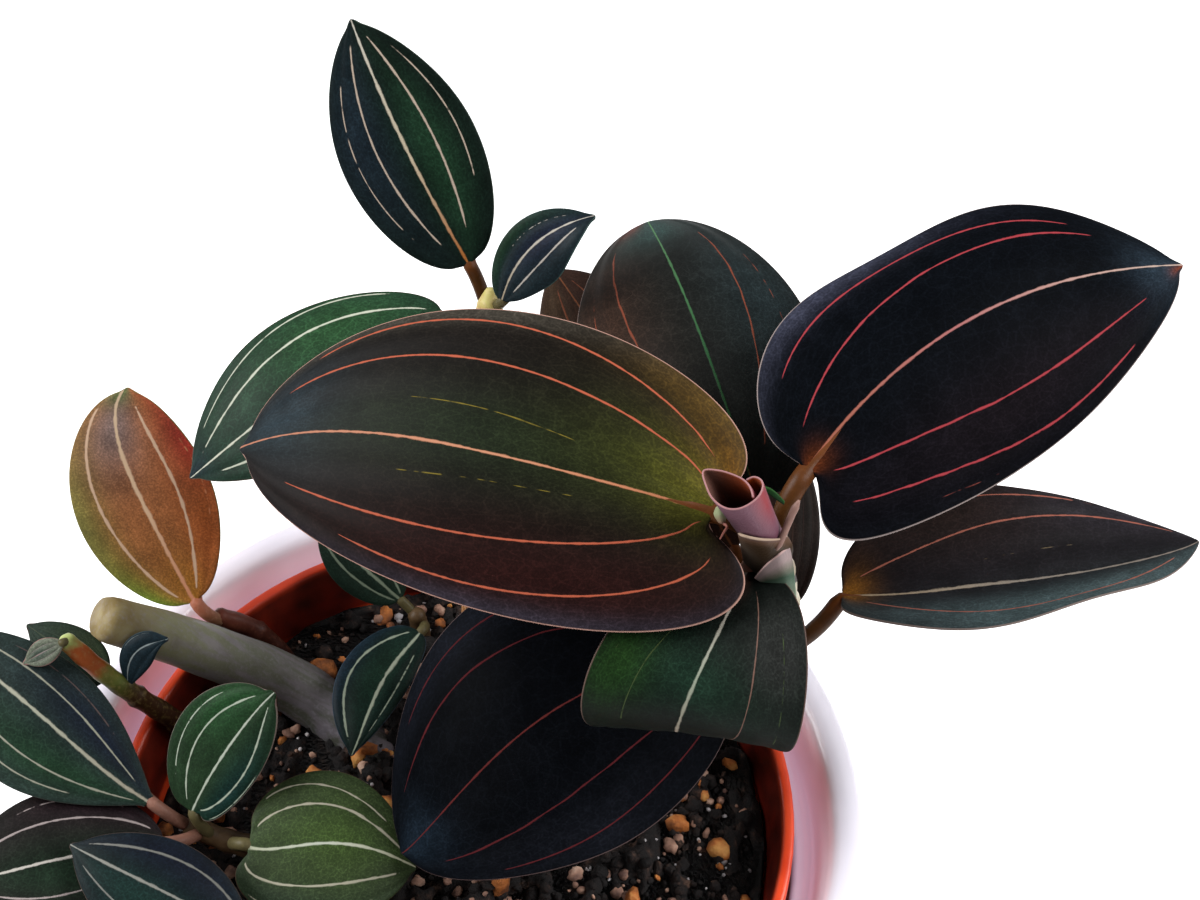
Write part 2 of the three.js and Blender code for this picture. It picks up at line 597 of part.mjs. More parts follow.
addTo(pots, "outer_pot", coverPot(), GLAZE.colour, GLAZE.roughness);
addTo(pots, "inner_pot", geometryOf(nurseryPot()), TERRACOTTA_PLASTIC.colour, TERRACOTTA_PLASTIC.roughness);
const mixWithHoles = Object.values(stemHoles).reduce((body, hole) => body.subtract(hole), pottingMix());
addTo(pots, "potting_mix", geometryOf(largestBody(mixWithHoles)), HUMUS.colour, HUMUS.roughness);

for (const [name, stem] of Object.entries(STEMS)) {
  addTo(shoots, name, geometryOf(stemSolid(stem)), stem.colour, STEM_ROUGHNESS);
}
for (const [name, leaf] of Object.entries(LEAVES)) {
  const cut = solidOf(leafGeometry(leaf)).subtract(stemHoles[leaf.stem]);
  addTo(foliage, name, geometryOf(largestBody(cut)), leaf.colour, LEAF_ROUGHNESS);
}
const rolled = solidOf(rolledLeaf()).subtract(stemHoles.main_stem);
addTo(foliage, "rolled_leaf", geometryOf(largestBody(rolled)), ROLLED_COLOUR, LEAF_ROUGHNESS);

export default pottedPlant;
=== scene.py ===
"""A jewel orchid (Ludisia discolor) in a nursery pot that stands in a white glazed cover pot."""

import functools
import math
import random

import bpy
import numpy as np
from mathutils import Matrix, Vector


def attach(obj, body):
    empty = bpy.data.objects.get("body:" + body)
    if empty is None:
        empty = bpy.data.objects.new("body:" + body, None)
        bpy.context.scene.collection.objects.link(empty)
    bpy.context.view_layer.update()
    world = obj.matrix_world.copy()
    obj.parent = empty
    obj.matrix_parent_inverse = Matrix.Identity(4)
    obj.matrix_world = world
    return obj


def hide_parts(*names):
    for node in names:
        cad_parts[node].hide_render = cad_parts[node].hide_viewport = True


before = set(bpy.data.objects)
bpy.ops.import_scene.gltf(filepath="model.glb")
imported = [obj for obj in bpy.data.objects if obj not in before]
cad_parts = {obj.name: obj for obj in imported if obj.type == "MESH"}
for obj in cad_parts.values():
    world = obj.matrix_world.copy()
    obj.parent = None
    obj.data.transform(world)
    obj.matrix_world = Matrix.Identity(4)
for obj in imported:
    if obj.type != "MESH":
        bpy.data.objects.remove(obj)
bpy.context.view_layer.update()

MM = 0.001

# ---- Sizes, in millimetres ----

POT_STEPS = 96  # around a pot
COVER_FLOOR = 3
COVER_WALL = 4
COVER_BASE_RADIUS = 51
COVER_RIM_RADIUS = 72.8
COVER_RIM_INNER_RADIUS = 66.6
COVER_TOP = 108.6
COVER_LEDGE_Z = 99.5
COVER_LEDGE_OUTER_RADIUS = 63.3
COVER_LEDGE_INNER_RADIUS = 60.6

NURSERY_FOOT = 3.3
NURSERY_TOP = 110
NURSERY_LIP_FOOT = 102
NURSERY_RIM_RADIUS = 60
NURSERY_WALL_TOP_RADIUS = 57.6
NURSERY_BASE_RADIUS = 44
STAIN_AND_SHADE_RADIUS = 58.3  # the dark inside its wall, damp stain and painted shade, ends here
STAIN_AND_SHADE_FOOT = 97
NURSERY_WALL = 1.4
NURSERY_FLOOR = 2
NURSERY_LIP_THICKNESS = 2
DRAIN_HOLES = 6
DRAIN_HOLE_RADIUS = 4.5
DRAIN_RING_RADIUS = 28

MIX_LEVEL = 98.5
MIX_DROP_LEFT = 2.5
MIX_RADIUS = 55.2
MIX_FOOT_RADIUS = 42
MIX_FOOT = 5.7
MIX_CELL = 0.75  # spacing of its surface mesh
CHIP_REACH = 0.965  # share of the mix's radius that chips lie on
CHIP_STAND = 0.5 - 0.35  # how far a chip's middle stands above the mix, as a share of its size

BLADE = 0.8  # a blade's thickness along its middle
BLADE_EDGE = 0.45  # share of that at its margin
STALK_WIDTH = (1.3, 3.6)  # on the smallest and the largest leaf
LARGEST_WIDTH = 47
LOBE_START = 0.75
SKIN_DEPTH = 0.5  # share of its colour's light that the nap on a leaf gives back
VEIN_DEPTH = 0.5  # the same for the veins and margins

# ---- Shoots: the path of each stem from its foot in the mix, and its radius along it ----

STEMS = {
    "old_stem": {
        "path": [(-62, 27.2, 131), (-46, 30, 116), (-29, 30, 100.5), (-16, 20, 94.5), (-8, 11, 88)],
        "radius": [4.1, 4.8, 5.3, 5.1, 4.6],
    },
    "main_stem": {
        "path": [(41, 19, 84), (43, 18, 97), (49, 11, 135), (52.5, 8, 152), (54, 8, 165), (52.5, 5, 178),
                 (50.7, 1.5, 190.5)],
        "radius": [3, 3, 3.1, 3.2, 3.2, 3, 2.3],
    },
    "tall_stem": {
        "path": [(3, 24, 84), (3, 27, 105), (5, 38, 150), (8, 52, 190)],
        "radius": [2.6, 2.6, 2.4, 2.3],
    },
    "low_stem": {
        "path": [(-24, -6, 86), (-27, -6, 97), (-33, -4.2, 103), (-40, -3.2, 105.5), (-47.5, -1.5, 108.5)],
        "radius": [2.2, 2.2, 2.1, 2, 1.7],
    },
    "rim_stem": {
        "path": [(-46, 20, 86), (-48, 20, 97), (-51, 19.5, 108), (-56.5, 18.3, 119), (-61.5, 19, 126),
                 (-67.5, 21, 134)],
        "radius": [2, 2, 1.9, 1.8, 1.7, 1.6],
    },
    "small_stem": {
        "path": [(-8, 43, 84), (-8, 44, 96), (-9, 45, 106)],
        "radius": [1.8, 1.8, 1.6],
    },
    "back_stem": {
        "path": [(-29, 34, 84), (-32, 37, 97), (-38, 38.5, 109), (-45, 37.5, 116)],
        "radius": [1.8, 1.8, 1.8, 1.7],
    },
}

OLD_STEM_GRAIN = (0.8, -0.2, -0.57)  # the way it lies

# ---- Leaves ----
# root: where the stalk leaves its stem; knee: the point that bends the stalk; base and tip: the
# ends of the blade. face: the way the upper side looks. Left and right are the leaf's own, seen
# from its base with the upper side up, and a pair of numbers is (left, right) or (base, tip).
# bow: how far the blade arches up near its base and its tip; sway: the same to the right. rise
# and bend place those two points of the midrib outright.
# halves: width of each half against half the width; cup: degrees that each half curls up;
# keel: degrees that both fold up; lobe: how far the round base reaches back; tuck: how fast
# that fades along the blade.
# widest: where along the midrib; round and point: how full the outline is before and after it.
# wave: how far the margin goes up and down; ruffle: the same in and out, as a share of the
# half's width; ripples and phase: how many waves along a margin, and where they start.

LEAF_DEFAULTS = dict(
    bow=(0, 0), sway=(0, 0), halves=(1, 1), cup=(0, 0), keel=0, lobe=(0, 0), tuck=(2, 2), widest=0.48,
    round=0.56, point=0.66, wave=(0, 0), ruffle=(0, 0), ripples=1, phase=0, rise=None, bend=None,
    knee=None)

LEAVES = {
    "left_leaf": dict(
        width=47, root=(51.5, 4, 184), knee=(48, 4.4, 192.4), base=(42.4, 3.1, 196), tip=(-29, 21, 188),
        face=(-0.1, -0.45, 0.9), bow=(11, 13), sway=(2, 6), cup=(-22, -22), lobe=(26.5, 16),
        tuck=(1.7, 2), round=0.5, point=0.53),
    "right_leaf": dict(
        width=44, halves=(0.93, 1.03), root=(53, 3.5, 181), base=(56.8, 9.3, 198), tip=(117, 48, 200),
        face=(0, -0.5, 0.86), bow=(6, 9), sway=(-9, -9), cup=(-28, -14), lobe=(3, 19), tuck=(2, 8),
        widest=0.42, round=0.5, point=0.62, wave=(1.4, 0.4), ruffle=(0.1, 0.02), ripples=1.4,
        phase=0.13),
    "front_leaf": dict(
        width=34, halves=(0.95, 0.99), root=(53, 5.5, 174), base=(48, 1, 183), tip=(38.5, -5, 156),
        rise=(44, -15, 190), bend=(35, -31, 171), face=(-0.2, -0.5, 0.83), cup=(4, 4), lobe=(8, 8),
        widest=0.57, round=0.5, point=0.62),
    "low_right_leaf": dict(
        width=36, halves=(1.16, 0.63), root=(51.8, 9, 147), knee=(59.5, 5.5, 154), base=(65, 11.4, 161),
        tip=(126, 26, 155.5), face=(0, 0.2, 0.98), bow=(2, 3), sway=(8, 6), cup=(8, 4), keel=12,
        lobe=(4, 3), widest=0.4, round=0.6, point=0.75, ruffle=(-0.08, -0.1), wave=(0.8, 0.6),
        ripples=1.5, phase=0.3),
    "back_leaf": dict(
        width=38, halves=(1.1, 0.94), root=(53.5, 7, 170), base=(50, 13, 186), tip=(34, 72, 184),
        face=(0, -0.5, 0.85), bow=(10, 21), cup=(-20, -20), lobe=(6, 6), point=0.48),
    "inner_back_leaf": dict(
        width=28, root=(54, 8, 164), base=(47, 14, 171), tip=(18, 70, 174), face=(0, -0.5, 0.85),
        bow=(6, 9), cup=(-10, -10), lobe=(3, 3)),
    "hidden_leaf": dict(
        width=11, root=(52.3, 8.5, 150), base=(56.5, 15, 153), tip=(58.5, 52, 152),
        face=(0.3, -0.5, 0.8), bow=(3, 4), cup=(-10, -10), lobe=(2, 2)),
    "low_front_leaf": dict(
        width=47, halves=(1, 1.1), root=(48.3, 11.8, 131), base=(45, 14, 138), tip=(-8, -9.5, 113.5),
        face=(0, -0.45, 0.9), bow=(9, 16), sway=(6, 6), cup=(-15, -22), lobe=(8, 8), round=0.5,
        point=0.54),
    "upright_leaf": dict(
        width=23, root=(7.4, 51, 186), knee=(6.1, 54.4, 189.5), base=(4.5, 55, 193),
        tip=(-13.5, 80, 222), face=(-0.1, -0.75, 0.65), bow=(1, 2), sway=(-1, -1), cup=(-10, -10),
        lobe=(2, 2)),
    "small_tall_leaf": dict(
        width=11.5, halves=(0.8, 1.15), root=(8, 51.5, 187), knee=(9.6, 49.6, 188.5),
        base=(10.1, 48.8, 191), tip=(24.4, 55.7, 203), face=(-0.3, -0.5, 0.8), bow=(1, 3),
        sway=(-4, -3), cup=(10, -10), lobe=(1, 1)),
    "left_tall_leaf": dict(
        width=27, root=(6.5, 47, 176), base=(1, 49.5, 185.5), tip=(-40, 28, 172),
        face=(-0.2, -0.3, 0.93), bow=(7, 11), cup=(-10, -15), lobe=(4, 4)),
    "red_leaf": dict(
        width=26, halves=(1.08, 0.95), root=(-44, 37, 115), base=(-48, 38, 120), tip=(-58.5, 62.8, 150),
        face=(-0.1, -0.75, 0.65), bow=(0, 2), sway=(-3.4, -3.6), cup=(-8, -8), lobe=(2, 2), widest=0.5,
        point=0.5),
    "outer_leaf": dict(
        width=23, halves=(1.2, 0.83), root=(-47, -1.6, 108.3), base=(-52.5, -0.8, 115.6),
        tip=(-87.3, 23, 132), face=(0, -0.4, 0.9), bow=(2.5, 4.5), cup=(6, -15), widest=0.52, round=0.8),
    "low_left_leaf": dict(
        width=23, root=(-44.5, -2.3, 107.2), base=(-50.2, -6.8, 111.3), tip=(-83, -16, 115),
        face=(0, -0.3, 0.95), bow=(1.5, 3.5), sway=(1.5, 2.2), cup=(10, -24), lobe=(2, 0)),
    "near_leaf": dict(
        width=18.5, halves=(1, 1.12), root=(-31, -4.8, 101.2), knee=(-31, -22, 106),
        base=(-36, -26, 110), tip=(-63.5, -11.7, 119), face=(0, -0.3, 0.95), bow=(2, 4), cup=(-8, -8),
        lobe=(2, 2), widest=0.44),
    "small_upright_leaf": dict(
        width=19, halves=(1.06, 0.78), root=(-42, -2.9, 106.2), knee=(-44.3, -3.2, 110),
        base=(-45.2, -1.7, 113.5), tip=(-30.8, 11.6, 130), face=(-0.2, -0.6, 0.8), bow=(0, 2),
        sway=(-1.8, -1.5), cup=(-8, -8), lobe=(2.5, 6.5), widest=0.52, round=0.5, point=0.5),
    "round_leaf": dict(
        width=25, halves=(1.18, 1), root=(-38, -3.5, 104.8), base=(-35, -7.5, 112),
        tip=(-7, -10, 108.5), face=(0, -0.3, 0.95), bow=(2, 5), cup=(-12, -12), lobe=(4, 8), round=0.5,
        point=0.56),
    "pale_rim_leaf": dict(
        width=4.6, root=(-66.7, 20.7, 133), base=(-67.4, 19.6, 134.2), tip=(-73.6, 17.9, 131),
        face=(0, -0.5, 0.85), bow=(0.6, 0.9), cup=(5, 5)),
    "dark_rim_leaf": dict(
        width=11.5, halves=(0.8, 0.92), root=(-60, 18.8, 124), base=(-62.1, 20.3, 121.5),
        tip=(-75.7, 28.9, 125), face=(0, -0.4, 0.9), bow=(1, 1), cup=(-5, -5), widest=0.4, point=0.58),
    "inner_rim_leaf": dict(
        width=8, halves=(0.84, 0.66), root=(-58, 18.5, 121.3), base=(-57.2, 18.6, 122.8),
        tip=(-50.6, 23.3, 129.7), face=(0, -0.4, 0.9), bow=(1.5, 1.5), sway=(-1.4, -2.6), cup=(-5, -5),
        round=0.8, point=0.56),
    "small_back_leaf": dict(
        width=13, halves=(0.88, 1), root=(-9, 45, 104), base=(-12, 47, 107), tip=(-26.5, 55, 119),
        face=(-0.1, -0.5, 0.85), bow=(1, 2), cup=(-8, -8), lobe=(1, 1)),
    "small_front_leaf": dict(
        width=14.5, halves=(0.66, 1.12), root=(-8.6, 44.6, 101), base=(-8, 40, 106),
        tip=(-19.2, 15.6, 104), face=(0, -0.3, 0.95), bow=(2, 4), sway=(1.8, 1.6), cup=(-8, -8),
        lobe=(2, 1.5), round=0.5),
}

# How each leaf is coloured.
# body, edge and vein are its main colours, midrib a colour at the base, middle and tip.
# veins: (base, middle, tip, strength, start, end), the places across at the base, middle and tip
# of the blade, where -1 is the left margin and 1 the right; a strength under 0.7 breaks the line
# into dashes, and it runs from start to end along the blade. centre: the same for the midrib.
# patches: (colour, place across, place along, reach across, reach along) of softer tones; some are painted
# highlights where the velvet catches the light.
# line: width of the midrib and of the veins, and rim: width of the pale margin, in millimetres.
# apex: length of the fine point at the tip. under: the underside and its veins.
# gloss: how much light the skin throws back. net: how bright its net of cells. faint: the
# colour of the weakest veins, if it differs.

LOOK_DEFAULTS = dict(
    centre=(0, 0, 0), rim=0.22, apex=0.8, slot="green_leaf", stalk="olive", under=("4a2320", "7a4238"),
    patches=(), line=(0.6, 0.45), sheen="8898a0", gloss=0.1, faint=None, net=1.35,
    veins=((-0.62, -0.7, -0.6, 0.65, 0.08, 0.9), (-0.3, -0.36, -0.3, 1, 0, 0.97),
    (0.3, 0.36, 0.3, 1, 0, 0.97), (0.62, 0.7, 0.6, 0.65, 0.08, 0.9)))

LOOKS = {
    "left_leaf": dict(
        body="171310", edge="d8a898", vein="cc684c", midrib=("d4875f", "dc9a78", "d08c70"),
        centre=(0, 0, 0.1), gloss=0.07, faint="8a7a30", line=(0.5, 0.38), rim=0.3, apex=1.6,
        slot="dark_leaf", sheen="8d84a8", stalk="amber", veins=((-0.56, -0.84, -0.72, 1, 0.03, 0.8),
        (-0.28, -0.53, -0.52, 1, 0, 0.93), (-0.12, -0.18, -0.26, 0.5, 0.2, 0.75),
        (0.08, 0.27, 0.36, 0.56, 0.25, 0.72), (0.42, 0.59, 0.68, 1, 0.03, 0.94),
        (0.57, 0.88, 0.88, 0.95, 0.05, 0.9)), patches=(("1d2617", 0.1, 0.5, 0.35, 0.6),
        # The bluish grey patch at the tip and the purplish one along the left margin are painted highlights.
        ("2a1210", -0.75, 0.4, 0.4, 0.5), ("26333a", 0.3, 0.93, 0.7, 0.14),
        ("3b3f14", 0.3, 0.05, 0.5, 0.28), ("5c5a1c", 0.15, 0, 0.6, 0.13), ("6e4810", 0.9, 0, 0.5, 0.16),
        ("574012", 0.98, 0.14, 0.22, 0.2), ("35303a", -1, 0.45, 0.12, 0.5),
        ("454038", 0.98, 0.65, 0.12, 0.4))),
    "right_leaf": dict(
        body="090c11", edge="b4a4a0", vein="b8464e", midrib=("b06a54", "bc7876", "d8bcae"), gloss=0.02,
        faint="904a42", line=(0.5, 0.38), rim=0.28, apex=1.2, slot="dark_leaf", sheen="8088a0",
        stalk="amber", centre=(-0.03, -0.05, 0), veins=((-0.72, -0.81, -0.66, 0.9, 0.1, 0.84),
        (-0.34, -0.58, -0.6, 0.95, 0.05, 0.86), (0.24, 0.54, 0.46, 1, 0, 0.9),
        (0.58, 0.86, 0.8, 1, 0.03, 0.84), (0.8, 0.99, 1.1, 0.5, 0.1, 0.4)),
        # The lavender patch along the left margin and the blue-grey one at the tip are painted highlights.
        patches=(("3b3d4c", -0.97, 0.3, 0.16, 0.3), ("2c3944", 0.2, 0.97, 0.9, 0.1),
        ("6b3418", 0, 0, 0.26, 0.06), ("161116", 0.6, 0.45, 0.4, 0.5), ("7a3c28", 0.3, 1, 0.3, 0.03))),
    "front_leaf": dict(
        body="101512", edge="6e5850", vein="86665a", midrib=("ccbcb2", "aab4a0", "d0b0a0"), gloss=0.07,
        faint="4a5a34", line=(0.6, 0.34), rim=0.26, apex=0.6, slot="dark_leaf", sheen="7fa89a",
        stalk="rose", centre=(-0.02, 0.08, -0.08), veins=((-0.6, -0.8, -0.84, 0.5, 0.12, 0.8),
        (-0.36, -0.48, -0.54, 0.72, 0.05, 0.9), (0.36, 0.58, 0.6, 0.62, 0.04, 0.8),
        (0.7, 0.86, 0.8, 0.45, 0.2, 0.7)), patches=(("1d3327", 0.1, 0.45, 1, 0.16),
        ("24421c", 0.8, 0.5, 0.35, 0.18), ("2a2c2a", -0.7, 0.3, 0.5, 0.2), ("6e4a40", 0, 0, 0.22, 0.1))),
    "low_right_leaf": dict(
        body="1a181c", edge="8a7a74", vein="b86e5c", midrib=("b09c80", "a0968a", "988c82"),
        faint="7a6a50", line=(0.55, 0.4), rim=0.22, apex=0, slot="dark_leaf", sheen="7c8496",
        stalk="amber", centre=(0.03, -0.03, 0.3), veins=((-0.7, -0.89, -0.98, 0.75, 0.3, 0.8),
        (-0.34, -0.63, -0.78, 1, 0.02, 0.98), (-0.12, -0.3, -0.3, 0.46, 0.3, 0.75),
        (0.2, 0.72, 0.34, 0.85, 0.03, 0.92)), patches=(("2c211e", -0.8, 0.3, 0.5, 0.4),
        # The pale blue-grey patch over the right half is a painted sheen where that half faces the light.
        ("4c5e60", 0.75, 0.55, 0.55, 0.6), ("8a5a1c", -0.1, 0, 0.6, 0.08),
        ("2e2a30", -0.8, 0.85, 0.4, 0.3))),
    "back_leaf": dict(
        body="191b19", edge="8a685c", vein="8a4834", midrib=("37603a", "2f5c38", "5a8a5c"),
        line=(0.45, 0.38), rim=0.22, apex=0, slot="dark_leaf", sheen="7a9a98", stalk="amber",
        veins=((-0.6, -0.74, -0.9, 0.55, 0.1, 0.85), (-0.33, -0.46, -0.75, 1, 0.1, 0.95),
        (0.25, 0.45, 0.72, 0.7, 0.1, 0.95), (0.6, 0.74, 0.9, 0.5, 0.2, 0.9)),
        patches=(("37251c", -0.75, 0.6, 0.5, 0.4), ("2f4c48", -0.1, 0.97, 0.7, 0.09),
        ("6e3024", -0.6, 1, 0.35, 0.05), ("202a2c", 0.7, 0.6, 0.5, 0.4))),
    "inner_back_leaf": dict(
        body="3a261e", edge="8a6a60", vein="8a5038", midrib=("7a4a2c", "8a5436", "8a5436"),
        line=(0.45, 0.38), slot="dark_leaf", sheen="8a8078", stalk="amber",
        patches=(("4c3a2a", -0.6, 0.9, 0.5, 0.2),)),
    "hidden_leaf": dict(
        body="32231d", edge="6a5048", vein="3c2822", midrib=("4a342a", "4a342a", "4a342a"),
        under=("30221f", "2c1f1c"), line=(0.3, 0.2), slot="dark_leaf", sheen="8a7068", stalk="amber",
        patches=(("2a2420", 0.5, 0.5, 0.5, 0.5),)),
    "low_front_leaf": dict(
        body="090b0f", edge="74605e", vein="62262a", midrib=("6c2c2c", "70302e", "6a2c2c"), gloss=0.015,
        line=(0.36, 0.32), rim=0.22, apex=0.5, slot="dark_leaf", sheen="77839c", stalk="amber",
        centre=(0.06, 0.06, -0.12), veins=((-0.68, -0.83, -0.92, 0.9, 0.05, 0.85),
        (-0.34, -0.5, -0.68, 1, 0, 0.95), (0.32, 0.6, 0.55, 1, 0, 0.95),
        (0.7, 0.84, 0.82, 0.9, 0.1, 0.85)), patches=(("1d2833", -0.15, 0.95, 0.6, 0.1),
        ("171a22", 0.9, 0.5, 0.2, 0.5), ("15171d", -0.85, 0.55, 0.3, 0.4))),
    "upright_leaf": dict(
        body="101c17", edge="56645a", vein="cbb8a6", midrib=("b8743c", "d2c2a6", "d4cfc0"), gloss=0.05,
        line=(0.6, 0.42), sheen="7c98a0", stalk="amber", veins=((-0.6, -0.74, -0.66, 0.6, 0.14, 0.9),
        (-0.3, -0.42, -0.36, 0.95, 0.08, 0.97), (0.32, 0.42, 0.36, 1, 0.1, 0.97),
        (0.62, 0.78, 0.72, 0.66, 0.25, 0.92)), patches=(("1b262e", -0.6, 0.6, 0.6, 0.5),
        ("1d3826", 0.35, 0.4, 0.4, 0.45))),
    "small_tall_leaf": dict(
        body="1a272c", edge="45605c", vein="cdc4ba", midrib=("b8a890", "d2cabc", "cfc8bc"),
        line=(0.42, 0.36), sheen="8c98a0", veins=((-0.5, -0.55, -0.5, 0.5, 0.3, 0.9),
        (0.4, 0.42, 0.3, 0.95, 0.06, 0.9)), patches=(("1c3424", -0.85, 0.35, 0.4, 0.5),
        ("1d2436", 0, 0.6, 0.5, 0.4))),
    "left_tall_leaf": dict(
        body="20382a", edge="7c5a4c", vein="d8dcc8", midrib=("d4d8bc", "e0e4d0", "e0e0cc"),
        line=(0.5, 0.46), sheen="88a894", centre=(0, -0.08, -0.2), apex=1.2,
        veins=((-0.5, -0.6, -0.6, 0.9, 0.06, 0.95), (0.5, 0.6, 0.2, 1, 0.03, 0.96),
        (0.9, 0.9, 0.62, 0.68, 0.1, 0.95)), patches=(("18262e", 0, 1, 1, 0.1),
        ("2a4c2e", 0.5, 0.35, 0.6, 0.35))),
    "red_leaf": dict(
        body="a2663e", edge="8a8a50", vein="e2bea0", midrib=("e49c78", "ecc6a2", "dcc0a0"), net=1.05,
        faint="c88058", line=(0.95, 0.7), rim=0.16, slot="red_leaf_skin", sheen="c0a8a0", stalk="coral",
        centre=(0, -0.05, -0.4), under=("a0563a", "c88a68"), veins=((-0.45, -0.62, -0.9, 1, 0.02, 0.97),
        (0.34, 0.5, 0.2, 1, 0.02, 0.97), (0.7, 0.88, 0.8, 0.5, 0.3, 0.9)),
        patches=(("847c40", -0.95, 0.45, 0.45, 0.5), ("ac742e", 0.2, 0, 1, 0.3),
        ("7c9434", -1, 0.08, 0.45, 0.24), ("85706a", -0.3, 0.85, 0.6, 0.25),
        ("5c7444", -0.4, 1, 0.7, 0.07), ("a0342c", 0.95, 0.72, 0.5, 0.35),
        ("a4582c", 0.8, 0.3, 0.5, 0.35))),
    "outer_leaf": dict(
        body="2e3c38", edge="50544e", vein="b4b4a2", midrib=("c0b8a4", "c4c4b0", "c8c8b4"),
        faint="6a5a58", line=(0.7, 0.45), sheen="7f97a0", stalk="rose", centre=(-0.22, -0.05, -0.15),
        veins=((-0.76, -0.8, -0.83, 0.75, 0.2, 0.9), (-0.6, -0.58, -0.66, 1, 0.02, 0.95),
        (0.28, 0.43, 0.5, 0.9, 0.06, 0.95), (0.62, 0.71, 0.78, 0.6, 0.2, 0.85)),
        patches=(("1a2230", 0.4, 0.3, 0.6, 0.45), ("24402c", -0.5, 0.35, 0.4, 0.5))),
    "low_left_leaf": dict(
        body="1f211d", edge="4a3c40", vein="bcaeac", midrib=("d4ccc0", "e0d8d0", "dcd8cc"),
        line=(0.62, 0.5), sheen="8c8890", stalk="rose", centre=(-0.05, -0.11, -0.24),
        veins=((-0.5, -0.66, -0.8, 0.8, 0.1, 0.9), (0.55, 0.49, 0.5, 0.95, 0.03, 0.95),
        (0.78, 0.8, 0.72, 0.56, 0.1, 0.75)), patches=(("291d22", 0.75, 0.3, 0.5, 0.5),
        ("1e3022", -0.3, 0.5, 0.5, 0.5))),
    "near_leaf": dict(
        body="172325", edge="5c4c44", vein="8a8a84", midrib=("989890", "a0a098", "a0a098"),
        line=(0.6, 0.5), sheen="7c8ca0", centre=(0.3, 0.14, 0.03), apex=1,
        veins=((-0.5, -0.52, -0.45, 0.75, 0.1, 0.95), (0.78, 0.71, 0.5, 1, 0.05, 0.97)),
        patches=(("151b29", 0.7, 0.5, 0.5, 0.6), ("1c3530", -0.2, 0.5, 0.5, 0.5))),
    "small_upright_leaf": dict(
        body="243a24", edge="9a8880", vein="c8d4c0", midrib=("ccd8c4", "d4e0cc", "ccd4c4"),
        line=(0.52, 0.42), rim=0.14, sheen="88a8a0", centre=(0, 0.04, 0), apex=1,
        veins=((-0.7, -0.8, -0.8, 0.66, 0.15, 0.85), (-0.37, -0.52, -0.32, 0.95, 0.04, 0.97),
        (0.5, 0.7, 0.22, 1, 0, 0.97), (0.9, 0.95, 0.86, 0.62, 0.02, 0.6)),
        patches=(("28502c", -0.5, 0.75, 0.6, 0.3), ("1a3834", 0.7, 0.3, 0.5, 0.5))),
    "round_leaf": dict(
        body="39482b", edge="5a4638", vein="c0bca6", midrib=("ccd0b4", "d8decc", "d8d8b8"),
        line=(0.6, 0.52), sheen="98a88c", centre=(0.15, -0.12, -0.12), under=("5a5a38", "8a8a58"),
        veins=((-0.94, -0.78, -0.6, 0.72, 0.06, 0.9), (-0.5, -0.58, -0.35, 1, 0.02, 0.96),
        (0.68, 0.46, 0.26, 1, 0, 0.96), (0.95, 0.85, 0.7, 0.6, 0.1, 0.9)),
        patches=(("2c3a2c", 0.9, 0.4, 0.4, 0.6), ("445a2c", -0.2, 0.5, 0.5, 0.4))),
    "pale_rim_leaf": dict(
        body="7a8070", edge="b0807c", vein="a89898", midrib=("8a9080", "a89898", "b08c84"),
        line=(0.35, 0.25), sheen="b8c0b0", under=("a8a890", "c0a090"),
        veins=((-0.4, -0.45, -0.4, 0.7, 0.1, 0.9), (0.4, 0.45, 0.4, 0.7, 0.1, 0.9)),
        patches=(("4c5a50", 0, 0.6, 0.6, 0.4),)),
    "dark_rim_leaf": dict(
        body="26362c", edge="5a3c34", vein="3c4a3c", midrib=("4a5642", "4a5642", "4a5642"),
        line=(0.4, 0.3), sheen="809080", patches=(("38442e", 0.6, 0.3, 0.5, 0.5),)),
    "inner_rim_leaf": dict(
        body="1b2b33", edge="3c4c52", vein="8a9494", midrib=("98a4a4", "a0aaaa", "98a4a4"),
        line=(0.36, 0.26), sheen="8c98a4", rim=0.12, centre=(-0.3, -0.22, 0.28),
        veins=((-0.8, -0.9, -0.8, 0.6, 0.4, 0.9), (0.4, 0.5, 0.6, 0.4, 0.2, 0.8))),
    "small_back_leaf": dict(
        body="22342a", edge="42524a", vein="8c9c86", midrib=("8e9c84", "98a892", "98a892"),
        line=(0.7, 0.55), sheen="7f9a90", veins=((-0.36, -0.45, -0.4, 1, 0, 0.95),
        (0.36, 0.45, 0.4, 1, 0, 0.95))),
    "small_front_leaf": dict(
        body="13241f", edge="45586a", vein="a4b09c", midrib=("a8b29c", "b4bca8", "acb8a0"),
        line=(0.75, 0.55), sheen="7c98a0", centre=(-0.1, -0.05, -0.3),
        veins=((-0.5, -0.62, -0.6, 0.6, 0.1, 0.9), (0.35, 0.74, 0.36, 1, 0.02, 0.96)),
        patches=(("1b3428", 0.1, 0.4, 0.5, 0.4), ("1a2a36", 0.95, 0.5, 0.3, 0.6))),
}

# Stalks and the ribs under the leaves: (place along, colour) from the stem on, and their flecks.
STALKS = {
    "amber": (((0, "2c1604"), (0.25, "3c2207"), (0.4, "50290c"), (1, "6e4434")), "54320f"),
    "rose": (((0, "5a3c30"), (0.3, "725044"), (1, "6a4840")), "8a6858"),
    "coral": (((0, "6a4a34"), (0.3, "8f553f"), (1, "8f553f")), "a07460"),
    "olive": (((0, "3a3420"), (0.3, "48422a"), (1, "4a4030")), "605838"),
}


# ---- Colours and shader nodes ----


def linear(code, strength=1.0):
    """An sRGB hex colour as linear RGBA."""
    channels = [int(code[i:i + 2], 16) / 255 for i in (0, 2, 4)]
    values = [c / 12.92 if c <= 0.04045 else ((c + 0.055) / 1.055) ** 2.4 for c in channels]
    return tuple(v * strength for v in values) + (1.0,)


